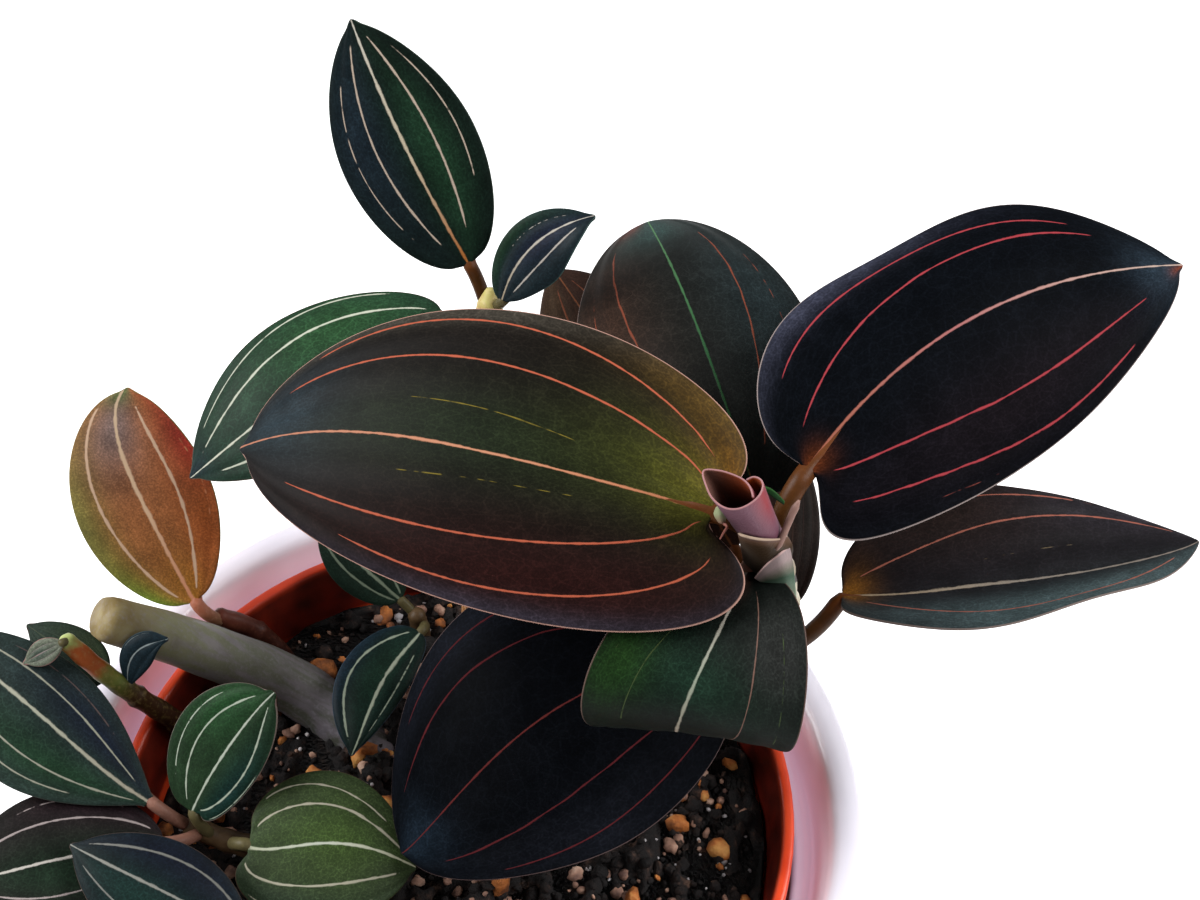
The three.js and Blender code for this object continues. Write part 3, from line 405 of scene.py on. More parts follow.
def add(tree, kind, sockets=None, out=None, stops=(), **settings):
    """A new shader node: its settings, its sockets, each given a value or another node's output,
    and a ramp's stops, each a place and a hex colour, a grey share or linear RGBA. Returns the
    output named out, or the first one in use."""
    node = tree.nodes.new("ShaderNode" + kind)
    for name, value in settings.items():
        setattr(node, name, value)
    for name, value in (sockets or {}).items():
        if isinstance(value, bpy.types.NodeSocket):
            tree.links.new(value, node.inputs[name])
        else:
            node.inputs[name].default_value = value
    if stops:
        elements = node.color_ramp.elements
        while len(elements) < len(stops):
            elements.new(0.5)
        for element, (place, colour) in zip(elements, stops):
            element.position = place
            element.color = (linear(colour) if isinstance(colour, str)
                             else colour if isinstance(colour, tuple) else (colour,) * 3 + (1,))
    return node.outputs[out] if out else next(output for output in node.outputs if output.enabled)


def new_material(name, **principled):
    """A material with a Principled shader; returns it, a function that adds a node to it, and the
    place its patterns read."""
    material = bpy.data.materials.new(name)
    material.use_nodes = True
    shader = material.node_tree.nodes["Principled BSDF"]
    for socket, value in principled.items():
        shader.inputs[socket.replace("_", " ")].default_value = value
    node = functools.partial(add, material.node_tree)
    return material, node, node("TexCoord", out="Object")


def surfaced(material, colour, relief=None, depth_mm=0.0, **others):
    """Leads a colour, a relief of that depth, and other outputs to a material's shader."""
    tree = material.node_tree
    ends = {"Base_Color": colour, **others}
    if relief is not None:
        ends["Normal"] = add(tree, "Bump", {"Height": relief, "Distance": depth_mm * MM, "Strength": 1.0})
    for socket, output in ends.items():
        tree.links.new(output, tree.nodes["Principled BSDF"].inputs[socket.replace("_", " ")])
    return material


def round_the_pot(node, place):
    """How far a place lies from the pots' axis, and its height."""
    flat = node("VectorMath", {0: place, 1: (1, 1, 0)}, operation="MULTIPLY")
    return (node("VectorMath", {0: flat}, operation="LENGTH"),
            node("VectorMath", {0: place, 1: (0, 0, 1)}, operation="DOT_PRODUCT"))


def off_vein(node, number):
    """The nearest whole vein number, and how far a vein number is from it."""
    nearest = node("Math", {0: number}, operation="ROUND")
    off = node("Math", {0: number, 1: nearest}, operation="SUBTRACT")
    return nearest, node("Math", {0: off}, operation="ABSOLUTE")


# ---- Finishes ----


def glazed_stoneware():
    """White glaze, dipped and fired: a clear glossy coat over a faintly uneven pale body, with a painted
    mauve glow inside the rim for the light the terracotta pot throws onto it.
    """
    material, node, place = new_material(
        "glazed_stoneware", Roughness=0.2, IOR=1.52, Coat_Weight=0.25, Coat_Roughness=0.05,
        Emission_Color=linear("c29eb8"))
    pooling = node("TexNoise", {"Vector": place, "Scale": 1 / (18 * MM), "Detail": 2.0})
    tone = node("ValToRGB", {"Fac": pooling}, stops=((0.3, "d0cdd8"), (0.7, "dad7e0")))
    # Inside the rim a painted mauve glow, given as emission, stands in for light thrown onto the glaze from
    # the terracotta pot.
    radius, height = round_the_pot(node, place)
    painted_glow = node("MapRange", {"Value": radius, "From Min": (COVER_RIM_INNER_RADIUS + 0.4) * MM,
                             "From Max": COVER_LEDGE_OUTER_RADIUS * MM, "To Max": 0.5})
    is_high = node("MapRange", {"Value": height, "From Min": (COVER_LEDGE_Z - 3) * MM,
                                "From Max": COVER_LEDGE_Z * MM})
    painted_light = node("Math", {0: painted_glow, 1: is_high}, operation="MULTIPLY")
    waviness = node("TexNoise", {"Vector": place, "Scale": 1 / (9 * MM), "Detail": 1.0})
    return surfaced(material, tone, waviness, 0.05, Emission_Strength=painted_light)


def terracotta_plastic():
    """Injection-moulded polypropylene coloured like terracotta: satin, finely grained, with the inner
    wall darkened, partly as damp stain from the mix and partly as painted shade."""
    material, node, place = new_material("terracotta_plastic", Roughness=0.32, IOR=1.49)
    mottling = node("TexNoise", {"Vector": place, "Scale": 1 / (7 * MM), "Detail": 4.0})
    tone = node("ValToRGB", {"Fac": mottling}, stops=((0.3, "b93213"), (0.7, "cf4420")))
    # The dark inner wall stands for damp stain and painted shade together.
    stain_and_shade = node("ValToRGB", {"Fac": mottling}, stops=((0.35, "3a0c06"), (0.7, "6e1c0e")))
    radius, height = round_the_pot(node, place)
    is_inner = node("MapRange", {"Value": radius, "From Min": STAIN_AND_SHADE_RADIUS * MM,
                                 "From Max": NURSERY_WALL_TOP_RADIUS * MM})
    is_high = node("MapRange", {"Value": height, "From Min": STAIN_AND_SHADE_FOOT * MM,
                                "From Max": (STAIN_AND_SHADE_FOOT + 1) * MM})
    stained_and_shaded = node("Math", {0: is_inner, 1: is_high}, operation="MULTIPLY")
    finished = node("Mix", {"Factor": stained_and_shaded, "A": tone, "B": stain_and_shade}, data_type="RGBA")
    grain = node("TexNoise", {"Vector": place, "Scale": 1 / (0.5 * MM), "Detail": 2.0})
    return surfaced(material, finished, grain, 0.02)


def damp_humus():
    """Peat and composted bark: near-black, crumbly and damp, with brown fibres."""
    material, node, place = new_material("damp_humus", Roughness=0.85, IOR=1.4)
    clods = node("TexNoise", {"Vector": place, "Scale": 1 / (2.4 * MM), "Detail": 8.0})
    tone = node("ValToRGB", {"Fac": clods}, stops=(
        (0.3, "050304"), (0.5, "0e0909"), (0.62, "221713"), (0.75, "523c30")))
    crumb = node("TexNoise", {"Vector": place, "Scale": 1 / (0.6 * MM), "Detail": 6.0})
    return surfaced(material, tone, crumb, 0.5)


def weathered_chip(name, dark, middle, pale):
    """A chip of bark or grit, broken by hand: matt, with pits and paler worn edges."""
    material, node, place = new_material(name, Roughness=0.75, IOR=1.45)
    patches = node("TexNoise", {"Vector": place, "Scale": 1 / (4 * MM), "Detail": 5.0})
    tone = node("ValToRGB", {"Fac": patches}, stops=((0.35, dark), (0.52, middle), (0.68, pale)))
    pits = node("TexNoise", {"Vector": place, "Scale": 1 / (0.8 * MM), "Detail": 5.0})
    return surfaced(material, tone, pits, 0.35)


def stem_skin(name, tones, fleck, grain=(0, 0, 0), streak_and_highlight=None):
    """The skin of a fleshy stem: satin, changing colour along it, with faint flecks and, where it
    is older, cloudy streaks that run lengthways, the way its grain lies, coloured partly as a painted
    highlight."""
    material, node, place = new_material(name, Roughness=0.45, IOR=1.42, Specular_IOR_Level=0.2)
    along = node("Attribute", out="Fac", attribute_name="along")
    mottling = node("TexNoise", {"Vector": place, "Scale": 1 / (3.5 * MM), "Detail": 5.0})
    drift = node("MapRange", {
        "Value": mottling, "From Min": 0.3, "From Max": 0.7, "To Min": -0.03, "To Max": 0.03})
    moved = node("Math", {0: along, 1: drift}, operation="ADD")
    tone = node("ValToRGB", {"Fac": moved}, stops=tones)
    # The streak colour is partly a painted highlight running along the stem.
    if streak_and_highlight:
        length = node("VectorMath", {0: place, 1: grain}, operation="DOT_PRODUCT")
        run = node("VectorMath", {0: grain, "Scale": length}, operation="SCALE")
        short = node("VectorMath", {0: run, "Scale": -0.93}, operation="SCALE")
        squeezed = node("VectorMath", {0: place, 1: short}, operation="ADD")
        streaks = node("TexNoise", {"Vector": squeezed, "Scale": 1 / (1.6 * MM), "Detail": 3.0})
        clouded = node("ValToRGB", {"Fac": streaks}, stops=((0.42, 0), (0.62, 0.5)))
        off_end = node("MapRange", {"Value": along, "From Min": 0.04, "From Max": 0.2})
        share = node("VectorMath", {0: clouded, "Scale": off_end}, operation="SCALE")
        tone = node("Mix", {"Factor": share, "A": tone, "B": linear(streak_and_highlight)}, data_type="RGBA")
    shade = node("ValToRGB", {"Fac": mottling}, stops=((0.3, 0.84), (0.7, 1.15)))
    shaded = node("Mix", {"Factor": 1.0, "A": tone, "B": shade}, data_type="RGBA", blend_type="MULTIPLY")
    flecks = node("TexNoise", {"Vector": place, "Scale": 1 / (0.7 * MM), "Detail": 3.0})
    mask = node("ValToRGB", {"Fac": flecks}, stops=((0.5, 0), (0.75, 0.35)))
    flecked = node("Mix", {"Factor": mask, "A": shaded, "B": linear(fleck)}, data_type="RGBA")
    return surfaced(material, flecked, flecks, 0.05)


def leaf_velvet(name, look):
    """The upper side of a leaf: dark velvety skin with a net of fine cells, and thin metallic
    veins that follow the blade and thin out towards its ends."""
    material, node, place = new_material(
        name, Roughness=0.5, IOR=1.4, Sheen_Weight=0.02, Sheen_Roughness=0.45,
        Specular_IOR_Level=look["gloss"], Sheen_Tint=linear(look["sheen"]))
    skin_tone = node("Attribute", out="Color", attribute_name="tone")
    vein, pitch, strength, is_faint, along, from_edge = (
        node("Attribute", out="Fac", attribute_name=key)
        for key in ("vein", "pitch", "strength", "faint", "along", "margin"))

    # Skin: the tones along and across, clusters of cells, a net between them and a fine speckle of painted
    # glints.
    clusters = node("TexNoise", {"Vector": place, "Scale": 1 / (5 * MM), "Detail": 4.0})
    shade = node("ValToRGB", {"Fac": clusters}, stops=((0.3, 0.76), (0.7, 1.24)))
    skin = node("Mix", {"Factor": 1.0, "A": skin_tone, "B": shade}, data_type="RGBA", blend_type="MULTIPLY")
    cells = node("TexNoise", {"Vector": place, "Scale": 1 / (0.35 * MM), "Detail": 2.0})
    glint = node("ValToRGB", {"Fac": cells}, stops=((0.42, 0.86), (0.74, 1.5)))
    speckled = node("Mix", {"Factor": 1.0, "A": skin, "B": glint}, data_type="RGBA", blend_type="MULTIPLY")
    blade_place = node("CombineXYZ", {"X": vein, "Y": along})
    stretched = node("VectorMath", {0: blade_place, 1: (6, 30, 1)}, operation="MULTIPLY")
    net = node("TexVoronoi", {"Vector": stretched, "Scale": 1.0}, out="Distance", feature="DISTANCE_TO_EDGE")
    thread = node("MapRange", {
        "Value": net, "From Min": 0.09, "From Max": 0.01, "To Min": 0.94, "To Max": look["net"]})
    netted = node("VectorMath", {0: speckled, "Scale": thread}, operation="SCALE")

    # Veins: whole numbers of the vein attribute lie on a vein, and pitch is its size in mm.
    nearest, away = off_vein(node, vein)
    distance = node("Math", {0: away, 1: pitch}, operation="MULTIPLY")
    from_midrib = node("Math", {0: nearest}, operation="ABSOLUTE")
    is_side = node("Math", {0: from_midrib, 1: 0.5}, operation="GREATER_THAN")
    midrib_line, side_line = look["line"]
    width = node("MapRange", {"Value": is_side, "To Min": midrib_line / 2, "To Max": side_line / 2})
    uneven = node("TexNoise", {"Vector": place, "Scale": 1 / (1.6 * MM), "Detail": 3.0})
    swell = node("MapRange", {
        "Value": uneven, "From Min": 0.3, "From Max": 0.7, "To Min": 0.6, "To Max": 1.3})
    tapered = node("Math", {0: width, 1: strength}, operation="MULTIPLY")
    edge_at = node("Math", {0: tapered, 1: swell}, operation="MULTIPLY")
    outside = node("Math", {0: edge_at, 1: 1.25}, operation="MULTIPLY")
    inside = node("Math", {0: edge_at, 1: 0.35}, operation="MULTIPLY")
    line = node("MapRange", {"Value": distance, "From Min": outside, "From Max": inside},
                interpolation_type="SMOOTHSTEP")
    # A line breaks into dashes where the noise along it passes its strength.
    dash_place = node("CombineXYZ", {"X": along, "Y": nearest})
    dashes = node("TexNoise", {"Vector": dash_place, "Scale": 20.0, "Detail": 3.0})
    gap = node("Math", {0: strength, 1: dashes}, operation="SUBTRACT")
    whole = node("MapRange", {"Value": gap, "From Min": -0.04, "From Max": 0.1},
                 interpolation_type="SMOOTHSTEP")
    vein_mask = node("Math", {0: line, 1: whole}, operation="MULTIPLY")
    midrib_tone = node("ValToRGB", {"Fac": along}, stops=[
        (spot, linear(code, VEIN_DEPTH)) for spot, code in zip((0.04, 0.45, 0.95), look["midrib"])])
    side_tone = node("Mix", {
        "Factor": is_faint, "A": linear(look["vein"], VEIN_DEPTH),
        "B": linear(look["faint"] or look["vein"], VEIN_DEPTH)}, data_type="RGBA")
    vein_tone = node("Mix", {"Factor": is_side, "A": midrib_tone, "B": side_tone}, data_type="RGBA")
    veined = node("Mix", {"Factor": vein_mask, "A": netted, "B": vein_tone}, data_type="RGBA")

    # Margin: a paler line, thin as the edge of the blade.
    rim = node("MapRange", {"Value": from_edge, "From Min": look["rim"], "From Max": look["rim"] * 0.3},
               interpolation_type="SMOOTHSTEP")
    finished = node("Mix", {
        "Factor": rim, "A": veined, "B": linear(look["edge"], VEIN_DEPTH)}, data_type="RGBA")
    relief = node("Math", {0: cells, 1: vein_mask, 2: 0.5}, operation="MULTIPLY_ADD")
    return surfaced(material, finished, relief, 0.06)


def leaf_underside(name, colour, vein):
    """The lower side of a leaf: matt and reddish, with faint veins."""
    material, node, place = new_material(
        name, Roughness=0.55, IOR=1.4, Sheen_Weight=0.06, Specular_IOR_Level=0.25)
    blotches = node("TexNoise", {"Vector": place, "Scale": 1 / (4 * MM), "Detail": 5.0})
    tone = node("ValToRGB", {"Fac": blotches}, stops=(
        (0.3, linear(colour, 0.7)), (0.7, linear(colour, 1.25))))
    _, away = off_vein(node, node("Attribute", out="Fac", attribute_name="vein"))
    line = node("MapRange", {"Value": away, "From Min": 0.12, "From Max": 0.04})
    veined = node("Mix", {"Factor": line, "A": tone, "B": linear(vein)}, data_type="RGBA")
    return surfaced(material, veined, blotches, 0.1)


def rimmed(material, node, place, colour, rim_colour, rim_reach, nap_depth):
    """The end of a thin young skin: a pale margin and a fine nap."""
    margin = node("Attribute", out="Fac", attribute_name="margin")
    rim = node("MapRange", {"Value": margin, "From Min": rim_reach[0], "From Max": rim_reach[1]},
               interpolation_type="SMOOTHSTEP")
    edged = node("Mix", {"Factor": rim, "A": colour, "B": linear(rim_colour)}, data_type="RGBA")
    nap = node("TexNoise", {"Vector": place, "Scale": 1 / (0.4 * MM), "Detail": 2.0})
    return surfaced(material, edged, nap, nap_depth)


def soft_scale(name, tones, rim_colour):
    """A sheath or young scale: thin and papery, changing colour along it, with a pale rim."""
    material, node, place = new_material(
        name, Roughness=0.5, IOR=1.4, Sheen_Weight=0.02, Specular_IOR_Level=0.15)
    along = node("Attribute", out="Fac", attribute_name="along")
    soft = node("TexNoise", {"Vector": place, "Scale": 1 / (2 * MM), "Detail": 4.0})
    mixed = node("Math", {0: soft, 1: 0.16, 2: along}, operation="MULTIPLY_ADD")
    tone = node("ValToRGB", {"Fac": mixed}, stops=[(spot + 0.08, code) for spot, code in tones])
    return rimmed(material, node, place, tone, rim_colour, (0.4, 0.12), 0.05)


def rolled_skin(name, tones, painted_glow, rim_colour, lit_across):
    """A young leaf's skin: soft velvet, with painted shade at its foot and down one side towards it,
    a painted glow where light comes through the far side, and a pale margin."""
    material, node, place = new_material(
        name, Roughness=0.48, IOR=1.4, Sheen_Weight=0.05, Sheen_Roughness=0.35,
        Sheen_Tint=linear("d8b0c4"), Specular_IOR_Level=0.15)
    along, across = (node("Attribute", out="Fac", attribute_name=key) for key in ("along", "across"))
    soft = node("TexNoise", {"Vector": place, "Scale": 1 / (2.5 * MM), "Detail": 4.0})
    mixed = node("Math", {0: soft, 1: 0.3, 2: along}, operation="MULTIPLY_ADD")
    tone = node("ValToRGB", {"Fac": mixed}, stops=tuple(zip((0.25, 0.6, 1.0), tones)))
    painted_light = node("ValToRGB", {"Fac": across}, stops=lit_across)
    upper = node("ValToRGB", {"Fac": along}, stops=((0.3, 0), (0.75, 1)))
    lit_above = node("Mix", {"Factor": 1.0, "A": painted_light, "B": upper}, data_type="RGBA", blend_type="MULTIPLY")
    glowing = node("Mix", {"Factor": lit_above, "A": tone, "B": linear(painted_glow)}, data_type="RGBA")
    # Painted shadow down one side of the roll, towards its foot.
    side = node("ValToRGB", {"Fac": across}, stops=(
        (0.38, 0), (0.44, 1), (0.5, 0.85), (0.56, 0.25), (0.63, 0)))
    lower = node("MapRange", {"Value": along, "From Min": 1.0, "From Max": 0.68})
    shadow = node("VectorMath", {0: side, "Scale": lower}, operation="SCALE")
    shaded = node("Mix", {"Factor": shadow, "A": glowing, "B": linear("0e0605")}, data_type="RGBA")
    return rimmed(material, node, place, shaded, rim_colour, (0.26, 0.1), 0.06)


# ---- Modelling ----


def activate(piece):
    """Makes a piece the only selected and active object."""
    bpy.ops.object.select_all(action="DESELECT")
    piece.select_set(True)
    bpy.context.view_layer.objects.active = piece


def give_materials(piece, materials, index=None):
    """Gives a piece its materials; its faces keep their own, or all take the one with that index."""
    faces = piece.data.polygons
    own = np.zeros(len(faces), dtype=np.int32)
    faces.foreach_get("material_index", own)
    piece.data.materials.clear()
    for material in materials:
        piece.data.materials.append(material)
    own = np.minimum(own, len(materials) - 1) if index is None else np.full_like(own, index)
    faces.foreach_set("material_index", own)


def finish(piece, name, materials, stands_for=(), slot=None):
    """Names a piece, gives it its finishes, and lets it ride on the plant."""
    piece.name = name
    piece.data.name = name
    give_materials(piece, materials)
    activate(piece)
    bpy.ops.object.transform_apply(location=True, rotation=True, scale=True)
    bpy.ops.object.shade_smooth()
    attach(piece, "root")
    if stands_for:
        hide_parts(*stands_for)
    return piece


def apply_modifier(piece, kind, **settings):
    """Adds a modifier to a piece and applies it."""
    activate(piece)
    modifier = piece.modifiers.new(kind.lower(), kind)
    for name, value in settings.items():
        setattr(modifier, name, value)
    bpy.ops.object.modifier_apply(modifier=modifier.name)


def cleaned(merge_mm=0.0, outward=True):
    """Merges the active mesh's doubles, turns its faces outwards and leaves edit mode."""
    bpy.ops.object.mode_set(mode="EDIT")
    bpy.ops.mesh.select_all(action="SELECT")
    if merge_mm:
        bpy.ops.mesh.remove_doubles(threshold=merge_mm * MM)
    if outward:
        bpy.ops.mesh.normals_make_consistent(inside=False)
    bpy.ops.object.mode_set(mode="OBJECT")


def turned(profile):
    """A solid of revolution: its outline drawn point by point from the axis, then spun round."""
    (radius, height), *others = profile
    bpy.ops.mesh.primitive_plane_add(size=MM, location=(radius * MM, 0, height * MM))
    piece = bpy.context.object
    bpy.ops.object.transform_apply(location=True)
    bpy.ops.object.mode_set(mode="EDIT")
    bpy.ops.mesh.merge(type="CENTER")
    for next_radius, next_height in others:
        step = ((next_radius - radius) * MM, 0, (next_height - height) * MM)
        bpy.ops.mesh.extrude_region_move(TRANSFORM_OT_translate={"value": step})
        radius, height = next_radius, next_height
    bpy.ops.mesh.select_all(action="SELECT")
    bpy.ops.mesh.spin(steps=POT_STEPS, angle=2 * math.pi, center=(0, 0, 0), axis=(0, 0, 1))
    cleaned(0.01)
    return piece


def rounded(outline):
    """An outline whose marked corners (radius, height, rounding) become arcs."""
    points = []
    for i, (radius, height, rounding) in enumerate(outline):
        here = Vector((radius, height))
        if rounding == 0 or i in (0, len(outline) - 1):
            points.append((radius, height))
            continue
        before = Vector(outline[i - 1][:2]) - here
        after = Vector(outline[i + 1][:2]) - here
        start = here + before.normalized() * min(rounding, before.length / 2)
        end = here + after.normalized() * min(rounding, after.length / 2)
        for t in (0, 0.25, 0.5, 0.75, 1):
            point = start * (1 - t) ** 2 + here * 2 * t * (1 - t) + end * t * t
            points.append((point.x, point.y))
    return points


def set_attribute(piece, name, values, kind="FLOAT"):
    """Stores one value, or one colour, for each vertex."""
    attribute = piece.data.attributes.new(name, kind, "POINT")
    key = "color" if kind == "FLOAT_COLOR" else "value"
    attribute.data.foreach_set(key, np.asarray(values, dtype=np.float32).ravel())


def tube(points, radii, sides=16):
    """A round closed tube through points in millimetres, with a radius at each."""
    bpy.ops.curve.primitive_bezier_curve_add()
    piece = bpy.context.object
    curve = piece.data
    curve.splines.clear()
    spline = curve.splines.new("POLY")
    spline.points.add(len(points) - 1)
    for place, point, radius in zip(spline.points, points, radii):
        place.co = (*(c * MM for c in point), 1)
        place.radius = radius
    curve.dimensions = "3D"
    curve.twist_mode = "MINIMUM"
    curve.bevel_depth = MM
    curve.bevel_resolution = (sides - 4) // 2
    curve.use_fill_caps = True
    activate(piece)
    bpy.ops.object.convert(target="MESH")
    cleaned(0.01)
    return bpy.context.object


def catmull_rom(path, per_span):
    """A smooth line through given points, as the centripetal Catmull-Rom curve gives it."""
    points = [np.array(p, float) for p in path]
    points = [2 * points[0] - points[1], *points, 2 * points[-1] - points[-2]]
    line = []
    for p0, p1, p2, p3 in zip(points, points[1:], points[2:], points[3:]):
        knots = [0.0]
        for a, b in ((p0, p1), (p1, p2), (p2, p3)):
            knots.append(knots[-1] + np.linalg.norm(b - a) ** 0.5)
        t0, t1, t2, t3 = knots
        for k in range(per_span):
            t = t1 + (t2 - t1) * k / per_span
            a1 = p0 * (t1 - t) / (t1 - t0) + p1 * (t - t0) / (t1 - t0)
            a2 = p1 * (t2 - t) / (t2 - t1) + p2 * (t - t1) / (t2 - t1)
            a3 = p2 * (t3 - t) / (t3 - t2) + p3 * (t - t2) / (t3 - t2)
            b1 = a1 * (t2 - t) / (t2 - t0) + a2 * (t - t0) / (t2 - t0)
            b2 = a2 * (t3 - t) / (t3 - t1) + a3 * (t - t1) / (t3 - t1)
            line.append(b1 * (t2 - t) / (t2 - t1) + b2 * (t - t1) / (t2 - t1))
    line.append(points[-2])
    return line


# ---- Pots ----


def make_cover_pot():
    """Replaces outer_pot: a glazed planter with a broad rolled rim and a ledge inside it."""
    wall_inside = COVER_BASE_RADIUS - COVER_WALL
    outline = rounded((
        (0, 0, 0),
        (COVER_BASE_RADIUS, 0, 2),
        (COVER_RIM_RADIUS - 2.6, COVER_TOP - 9, 0.8),
        (COVER_RIM_RADIUS, COVER_TOP - 7, 1.6),
        (COVER_RIM_RADIUS, COVER_TOP, 4),
        (COVER_RIM_INNER_RADIUS + 0.4, COVER_TOP, 2.4),
        (COVER_LEDGE_OUTER_RADIUS, COVER_LEDGE_Z, 1.2),
        (COVER_LEDGE_INNER_RADIUS, COVER_LEDGE_Z, 1),
        (wall_inside, COVER_FLOOR, 2),
        (0, COVER_FLOOR, 0),
    ))
    return finish(turned(outline), "cover_pot", [glazed_stoneware()], ["outer_pot"], "white_glaze")


def make_nursery_pot():
    """Replaces inner_pot: a thin moulded pot with a turned lip and drain holes in its floor."""
    inner_floor = NURSERY_FOOT + NURSERY_FLOOR
    outline = rounded((
        (0, NURSERY_FOOT, 0),
        (NURSERY_BASE_RADIUS, NURSERY_FOOT, 1.2),
        (NURSERY_WALL_TOP_RADIUS, NURSERY_LIP_FOOT, 0.3),
        (NURSERY_RIM_RADIUS - 0.2, NURSERY_LIP_FOOT + 0.4, 0.6),
        (NURSERY_RIM_RADIUS, NURSERY_TOP, 0.9),
        (NURSERY_RIM_RADIUS - NURSERY_LIP_THICKNESS, NURSERY_TOP, 0.8),
        (NURSERY_WALL_TOP_RADIUS - NURSERY_WALL, NURSERY_LIP_FOOT, 1),
        (NURSERY_BASE_RADIUS - NURSERY_WALL, inner_floor, 1),
        (0, inner_floor, 0),
    ))
    pot = turned(outline)
    for i in range(DRAIN_HOLES):
        angle = 2 * math.pi * i / DRAIN_HOLES
        place = (DRAIN_RING_RADIUS * MM * math.cos(angle), DRAIN_RING_RADIUS * MM * math.sin(angle),
                 NURSERY_FOOT * MM)
        bpy.ops.mesh.primitive_cylinder_add(
            vertices=24, radius=DRAIN_HOLE_RADIUS * MM, depth=4 * NURSERY_FLOOR * MM, location=place)
        drill = bpy.context.object
        apply_modifier(pot, "BOOLEAN", operation="DIFFERENCE", object=drill, solver="EXACT")
        bpy.data.objects.remove(drill)
    return finish(pot, "nursery_pot", [terracotta_plastic()], ["inner_pot"], "terracotta_plastic")


# ---- Potting mix ----


def mix_height(x, y, rough):
    """Height of the mix in millimetres, lower at its left; rough holds its random clods."""
    height = MIX_LEVEL + MIX_DROP_LEFT * np.minimum(0, x / MIX_RADIUS)
    for kx, ky, shift, size in rough:
        height = height + size * np.sin(kx * x + ky * y + shift)
    return height


def make_mix():
    """Replaces potting_mix: its crumbly top, closed below; it does not reach the pot's floor."""
    draw = random.Random(5)
    rough = []
    for wavelength, size in ((24, 0.5), (13, 0.45), (7, 0.4), (4.5, 0.35), (3.1, 0.3)):
        for _ in range(5):
            angle = draw.uniform(0, 2 * math.pi)
            step = 2 * math.pi / (wavelength * draw.uniform(0.8, 1.25))
            rough.append((step * math.cos(angle), step * math.sin(angle), draw.uniform(0, 6.3), size))
    steps = round(2 * MIX_RADIUS / MIX_CELL)
    bpy.ops.mesh.primitive_circle_add(vertices=150, radius=MIX_RADIUS * MM, fill_type="NGON")
    piece = bpy.context.object
    bpy.ops.object.mode_set(mode="EDIT")
    bpy.ops.mesh.select_all(action="SELECT")
    rings = steps // 2
    for i in range(1, rings):
        share = (rings - i) / (rings - i + 1)
        bpy.ops.mesh.extrude_region_move()
        bpy.ops.transform.resize(value=(share, share, 1))
    bpy.ops.mesh.merge(type="CENTER")
    bpy.ops.object.mode_set(mode="OBJECT")
    mesh = piece.data
    points = np.empty(len(mesh.vertices) * 3)
    mesh.vertices.foreach_get("co", points)
    points = points.reshape(-1, 3) / MM
    points[:, 2] = mix_height(points[:, 0], points[:, 1], rough)
    points[:, 2] += [draw.uniform(-0.35, 0.35) for _ in points]
    mesh.vertices.foreach_set("co", (points * MM).ravel())
    bpy.ops.object.mode_set(mode="EDIT")
    bpy.ops.mesh.select_all(action="SELECT")
    bpy.ops.mesh.region_to_loop()
    bpy.ops.mesh.extrude_region_move(TRANSFORM_OT_translate={"value": (0, 0, -4 * MM)})
    bpy.ops.mesh.extrude_region_move()
    share = MIX_FOOT_RADIUS / MIX_RADIUS
    bpy.ops.transform.resize(value=(share, share, 0))
    bpy.ops.transform.translate(value=(0, 0, (MIX_FOOT - MIX_LEVEL + 4) * MM))
    bpy.ops.mesh.edge_face_add()
    cleaned()
    return finish(piece, "humus_bed", [damp_humus()], ["potting_mix"], "humus")


def scatter(name, bed, material, count, sizes, seed, squash=(1, 1, 1)):
    """Chips laid on the mix: four rough chips modelled one by one, and a copy with its own mesh for each."""
    draw = random.Random(seed)
    grounds = []
    while len(grounds) < count:
        angle = draw.uniform(0, 2 * math.pi)
        distance = CHIP_REACH * MIX_RADIUS * math.sqrt(draw.random())
        spot = Vector((distance * math.cos(angle), distance * math.sin(angle), 130)) * MM
        hit, ground, _, _ = bed.ray_cast(spot, Vector((0, 0, -1)))
        if hit:
            grounds.append(ground)
    shapes = []
    for _ in range(4):
        bpy.ops.mesh.primitive_ico_sphere_add(subdivisions=2 if sizes[1] > 1 else 1, radius=1)
        shape = bpy.context.object
        for vertex in shape.data.vertices:
            vertex.co *= draw.uniform(0.72, 1.18)
        shapes.append(shape)
    copies = []
    for i, ground in enumerate(grounds):
        size = sizes[0] + (sizes[1] - sizes[0]) * draw.random() ** 2.2
        copy = shapes[i % len(shapes)].copy()
        copy.data = copy.data.copy()
        bpy.context.collection.objects.link(copy)
        copy.location = ground + Vector((0, 0, size * CHIP_STAND * MM))
        copy.rotation_euler = [draw.uniform(0, 2 * math.pi) for _ in range(3)]
        copy.scale = [size * share * draw.uniform(0.7, 1.3) * MM for share in squash]
        copies.append(copy)
    for shape in shapes:
        bpy.data.objects.remove(shape)
    activate(copies[0])
    for copy in copies:
        copy.select_set(True)
    bpy.ops.object.join()
    return finish(bpy.context.object, name, [material], slot="humus")


# ---- Stems ----


